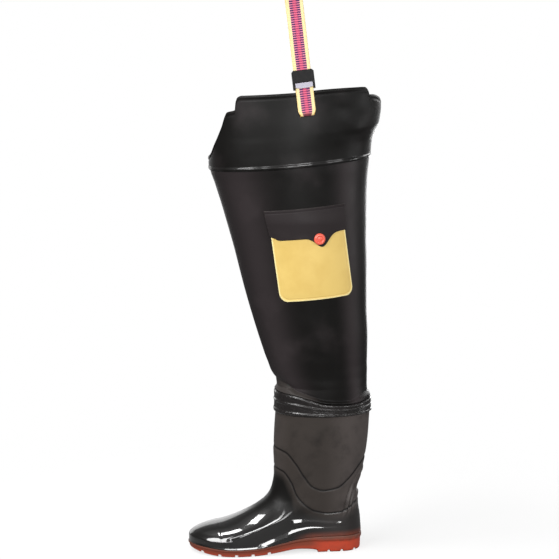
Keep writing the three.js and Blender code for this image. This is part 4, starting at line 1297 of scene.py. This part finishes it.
def plate_mesh(name, outline, back, thick):
    """A plate cut to an outline (along the foot, up), from its back to its face, with no rounding yet."""
    outline = np.array(outline, float)
    count = len(outline)
    layers = [np.column_stack([np.full(count, x), outline]) for x in (back, back + thick)]
    points = strap_frame(np.concatenate(layers))
    index = np.arange(count)
    sides = np.stack([index, np.roll(index, -1), np.roll(index, -1) + count, index + count], -1)
    faces = [index[::-1].tolist(), (index + count).tolist(), *sides.tolist()]
    mesh = bpy.data.meshes.new(name)
    mesh.from_pydata((points * MM).tolist(), [], faces)
    work = bmesh.new()
    work.from_mesh(mesh)
    bmesh.ops.recalc_face_normals(work, faces=work.faces)
    work.to_mesh(mesh)
    work.free()
    mesh.shade_smooth()
    return mesh


def round_edges(piece, width, segments=4):
    """Rounds a plate's edges with a bevel."""
    bevel = piece.modifiers.new("rounded edges", "BEVEL")
    bevel.width = width * MM
    bevel.segments = segments
    bevel.limit_method = "ANGLE"
    bevel.angle_limit = np.radians(20)
    bevel.harden_normals = True
    return piece


def buckle_mesh():
    """The buckle's plate, open below its top part for the bar, with cut-off upper corners."""
    w = BUCKLE_WIDTH / 2
    top = BUCKLE_FOOT + BUCKLE_HEIGHT
    side = top - BUCKLE_CHAMFER
    corner = w - BUCKLE_CHAMFER
    inner = w - LEG_WIDE
    outline = [
        (-w, BUCKLE_FOOT), (-inner, BUCKLE_FOOT), (-inner, BAR_TOP), (inner, BAR_TOP), (inner, BUCKLE_FOOT),
        (w, BUCKLE_FOOT), (w, side), (corner, top), (-corner, top), (-w, side),
    ]
    return plate_mesh("buckle_frame", outline, BUCKLE_BACK, BUCKLE_THICK)


def bar_mesh():
    """The bar across the strap, its lower edge slightly bowed."""
    low = BUCKLE_FOOT + BAR_LOW
    high = BAR_TOP - GAP
    face = FRONT_RUN + STRAP_THICK / 2 + GAP
    thick = BUCKLE_BACK + BUCKLE_THICK + BAR_PROUD - face
    half = STRAP_WIDTH / 2
    steps = np.linspace(-1, 1, 15)
    lower = [(half * s, low + 1.6 * s**2) for s in steps]
    outline = lower + [(half, high), (-half, high)]
    return plate_mesh("buckle_bar_plate", outline, face, thick)


# The outsole and insole: loops from the heel over the outer side to the toe and back
def lug_places():
    heel = np.arange(HEEL_LUG_PITCH / 2, HEEL_BREAST - HEEL_LUG_PITCH / 3, HEEL_LUG_PITCH)
    fore = np.arange(SOLE_LENGTH * 0.5 + LUG_PITCH / 2, SOLE_LENGTH - LUG_PITCH * 0.4, LUG_PITCH)
    return np.concatenate([heel, fore])


def sole_stations():
    """Shares along the foot, closer at its round ends, with pairs at the walls of each groove and at the
    breast."""
    even = (1 - np.cos(np.linspace(0, np.pi, 190))) / 2
    walls = lug_places()[:, None] + np.array([-1, 1]) * LUG_GROOVE / 2
    walls = np.concatenate([walls.ravel() - 0.15, walls.ravel() + 0.15]) / SOLE_LENGTH
    closest = 0.0012
    near = np.abs(even[:, None] - np.concatenate([walls, [BREAST]])).min(axis=1) < closest
    return np.sort(np.concatenate([even[~near], walls, [BREAST, BREAST + 0.002]]))


def sole_loop():
    """Shares along the foot and sides of one loop round the sole."""
    stations = sole_stations()
    along = np.concatenate([stations, stations[-2:0:-1]])
    side = np.concatenate([np.ones(len(stations)), -np.ones(len(stations) - 2)])
    return along, side


# The sole's side from the floor up: share of its height, and how far it stands out from the last
SIDE_SECTION = [
    (0, -2.8), (0.03, -1.9), (0.1, -1.1), (0.35, -0.75), (0.62, -0.45), (0.68, -0.2), (0.73, 0.4),
    (0.77, 1.1), (0.81, 1.4), (0.93, 1.4), (0.98, 1.15), (1.0, 0.7),
]
TREAD_GROW = SIDE_SECTION[0][1]
TOP_GROW = SIDE_SECTION[-1][1]


def outsole_mesh():
    """The sole: its side section carried round the last's outline, closed by a top and by the tread with its
    lugs."""
    along, side = sole_loop()
    under, top = sole_under(along), sole_top(along)
    off = np.abs((along * SOLE_LENGTH)[:, None] - lug_places()).min(axis=1)
    groove = np.clip((LUG_GROOVE / 2 + 0.15 - off) / 0.3, 0, 1) * LUG_DEPTH
    shares = [np.linspace(0, 0.1, 6), np.linspace(0.1, 0.62, 12)[1:], np.linspace(0.62, 1, 22)[1:]]
    shares = np.concatenate(shares)
    grows = curve(SIDE_SECTION, shares)[0]
    rows, heights = [], []
    middle = centre_line(along)

    def tread(offset, cut):
        x = middle + offset
        z = under + groove * cut
        return np.column_stack([x, low_y, z])

    low_x, low_y = foot_outline(along, side, TREAD_GROW)
    wide = low_x - middle
    spine = np.sign(wide) * np.minimum(np.abs(wide), SPINE_WIDTH / 2)
    for t in (0, 0.25, 0.6, 1):
        rows.append(tread(spine * t, 0))
        heights.append(np.zeros(len(along)))
    ledge = np.sign(wide) * np.minimum(np.abs(wide), SPINE_WIDTH / 2 + 0.3)
    for t in np.linspace(0, 1, 9):
        rows.append(tread(mix(ledge, wide, t), 1))
        heights.append(np.zeros(len(along)))
    for share, grow in zip(shares, grows):
        x, y = foot_outline(along, side, grow)
        z = np.maximum(mix(under, top, share), under + groove)
        rows.append(np.column_stack([x, y, z]))
        heights.append(np.full(len(along), share))
    rim_x, rim_y = foot_outline(along, side, TOP_GROW)
    for t in (0.985, 0.9, 0.5, 0):
        rows.append(np.column_stack([middle + (rim_x - middle) * t, rim_y, top]))
        heights.append(np.ones(len(along)))
    points = np.array(rows)
    faces = grid_faces(*points.shape[:2])
    return mesh_of("outsole_tread", points, faces, {"height": np.array(heights)}, sharp=40)


# The insole's section: share of its thickness, growth, share of the way out from the centre line
INSOLE_SECTION = [
    (0, 0, 0), (0, 0, 0.6), (0, -0.6, 1), (0.12, 0, 1), (0.85, 0, 1), (0.96, -0.4, 1), (1, -1.2, 1),
    (1, -1.2, 0.6), (1, -1.2, 0),
]


def insole_mesh():
    """The insole: its section carried round the last's outline, a little inside it."""
    along, side = sole_loop()
    rows = []
    middle = centre_line(along)
    for rise, grow, t in INSOLE_SECTION:
        x, y = foot_outline(along, side, grow - INSOLE_INSET)
        z = sole_top(along) + GAP + rise * INSOLE_THICK
        rows.append(np.column_stack([middle + (x - middle) * t, y, z]))
    points = np.array(rows)
    return mesh_of("insole_pad", points, grid_faces(*points.shape[:2]))


# The slot, narrower than the flat webbing, which is gathered in it
SLOT_HALF = STRAP_WIDTH / 2 * 0.83
SLOT_RISE = -BEND_LOW * 1.45
SLOT_ROUND = 0.35


def cut_slot(panel):
    """Cuts the strap's slot through the hip panel: an oval with nearly square corners."""
    angle = np.linspace(0, 2 * np.pi, 48, endpoint=False)
    across = np.sign(np.cos(angle)) * np.abs(np.cos(angle)) ** SLOT_ROUND * SLOT_HALF
    height = np.sign(np.sin(angle)) * np.abs(np.sin(angle)) ** SLOT_ROUND * SLOT_RISE
    cutter = plate_mesh("slot_cutter", np.column_stack([across, height]), -15, 30)
    tool = bpy.data.objects.new("slot_cutter", cutter)
    bpy.context.scene.collection.objects.link(tool)
    cut = panel.modifiers.new("slot", "BOOLEAN")
    cut.operation = "DIFFERENCE"
    cut.solver = "EXACT"
    cut.object = tool
    bpy.context.view_layer.update()
    evaluated = panel.evaluated_get(bpy.context.evaluated_depsgraph_get())
    mesh = bpy.data.meshes.new_from_object(evaluated)
    panel.modifiers.clear()
    panel.data = mesh
    bpy.data.objects.remove(tool)


vinyl = sheet_finish("leg_vinyl")
place(outsole_mesh(), "outsole", sole_finish())
place(insole_mesh(), "insole", insole_finish())
place(boot_mesh(), "boot", boot_finish())
place(band_mesh(), "joint_band", band_finish())
place(leg_mesh(), "leg", vinyl)
hip = place(panel_mesh(), "hip_panel", vinyl)
cut_slot(hip)
place(pocket_mesh(), "pocket", pocket_finish())
place(flap_mesh(), "pocket_flap", sheet_finish("flap_vinyl", lining=False))
place(snap_mesh(), "snap", snap_finish())
place(strap_mesh(), "strap", webbing_finish())
round_edges(place(buckle_mesh(), "buckle", buckle_finish()), 0.8)
round_edges(place(bar_mesh(), "buckle_bar", bar_finish()), 0.5)


# Floor, light and camera
def add_floor():
    """A pale round floor that fades out into the white surroundings."""
    radius, rings, spokes = 2.6, 40, 96
    angle = np.arange(spokes) / spokes * 2 * np.pi
    reach = np.linspace(0, radius, rings)
    across, along = reach[:, None] * np.cos(angle), reach[:, None] * np.sin(angle)
    points = np.stack([across, along, np.zeros((rings, spokes))], -1)
    mesh = bpy.data.meshes.new("floor")
    mesh.from_pydata(points.reshape(-1, 3).tolist(), [], grid_faces(rings, spokes)[:, ::-1].tolist())
    f = Finish("pale_floor", specular_ior_level=0.1, roughness=0.8)
    x, y, _ = f.places()
    reach = (x * x + y * y) ** 0.5
    f.set(base_color=FLOOR_GREY, alpha=reach.step(900, 300) * 0.3)
    mesh.materials.append(f.material)
    floor = bpy.data.objects.new("floor", mesh)
    bpy.context.scene.collection.objects.link(floor)


# Lights: name, place and aim in metres, width and height, watts
LIGHTS = [
    ("ceiling", (0, -0.3, 3.0), (0, -0.3, 0), (4.0, 4.0), 10),
    ("vamp box", (0.10, -0.91, 1.92), (0.036, -0.16, 0.06), (0.74, 0.4), 31),
    ("side box", (2.30, 0.28, 1.07), (0.04, -0.08, 0.05), (1.0, 0.52), 42),
    ("front strip", (2.60, -1.74, 1.43), (0.04, -0.2, 0.03), (3.4, 0.3), 61),
    ("toe box", (1.39, -1.84, 1.56), (0.04, -0.23, 0.03), (1.7, 0.5), 54),
    ("crease box", (2.4, 0.0, 0.32), (0.03, 0.02, 0.1), (0.5, 0.3), 6),
    ("back wall", (-2.4, 0.1, 0.62), (0, 0, 0.5), (4.2, 1.2), 24),
    ("back edge box", (-2.2, 1.05, 0.2), (0, 0.05, 0.55), (0.35, 0.36), 5),
    ("heel box", (0.2, 2.3, 0.4), (0.03, 0.03, 0.12), (0.5, 0.6), 10),
    ("right box", (1.63, 1.95, 1.24), (0, 0, 0.7), (1.0, 1.2), 24),
    ("back fill", (-1.7, 2.1, 1.7), (0, 0, 0.5), (1.6, 1.6), 45),
]


def add_light(name, seat, aim, size, power):
    """A rectangular soft light at its seat, turned to its aim."""
    lamp = bpy.data.lights.new(name, "AREA")
    lamp.shape = "RECTANGLE"
    lamp.size, lamp.size_y = size
    lamp.energy = power
    light = bpy.data.objects.new(name, lamp)
    light.location = seat
    light.rotation_euler = (Vector(aim) - Vector(seat)).to_track_quat("-Z", "Y").to_euler()
    light.visible_camera = False
    bpy.context.scene.collection.objects.link(light)


# Strength of the surroundings to everything but the camera
ROOM_LIGHT = 0.12


def add_world():
    """White surroundings to the camera, and a dim grey room to the light and the reflections."""
    world = bpy.data.worlds.new("studio")
    world.use_nodes = True
    tree = world.node_tree
    tree.nodes.clear()
    path = tree.nodes.new("ShaderNodeLightPath")
    both = tree.nodes.new("ShaderNodeMixShader")
    surface = tree.nodes.new("ShaderNodeOutputWorld")
    tree.links.new(path.outputs["Is Camera Ray"], both.inputs[0])
    for place_in, strength in ((1, ROOM_LIGHT), (2, 1.0)):
        background = tree.nodes.new("ShaderNodeBackground")
        background.inputs["Color"].default_value = (1, 1, 1, 1)
        background.inputs["Strength"].default_value = strength
        tree.links.new(background.outputs[0], both.inputs[place_in])
    tree.links.new(both.outputs[0], surface.inputs[0])
    bpy.context.scene.world = world


def add_camera():
    camera = bpy.data.cameras.new("camera")
    camera.lens = 128.8
    camera.sensor_width = 36
    camera.shift_x = -0.0189
    camera.shift_y = 0.0114
    seat = bpy.data.objects.new("camera", camera)
    seat.location = (3.481, -0.456, 1.050)
    aim = Vector((0, -0.090, 0.480))
    seat.rotation_euler = (aim - seat.location).to_track_quat("-Z", "Y").to_euler()
    bpy.context.scene.collection.objects.link(seat)
    bpy.context.scene.camera = seat


add_floor()
add_world()
for row in LIGHTS:
    add_light(*row)
add_camera()
bpy.context.scene.view_settings.view_transform = "Standard"
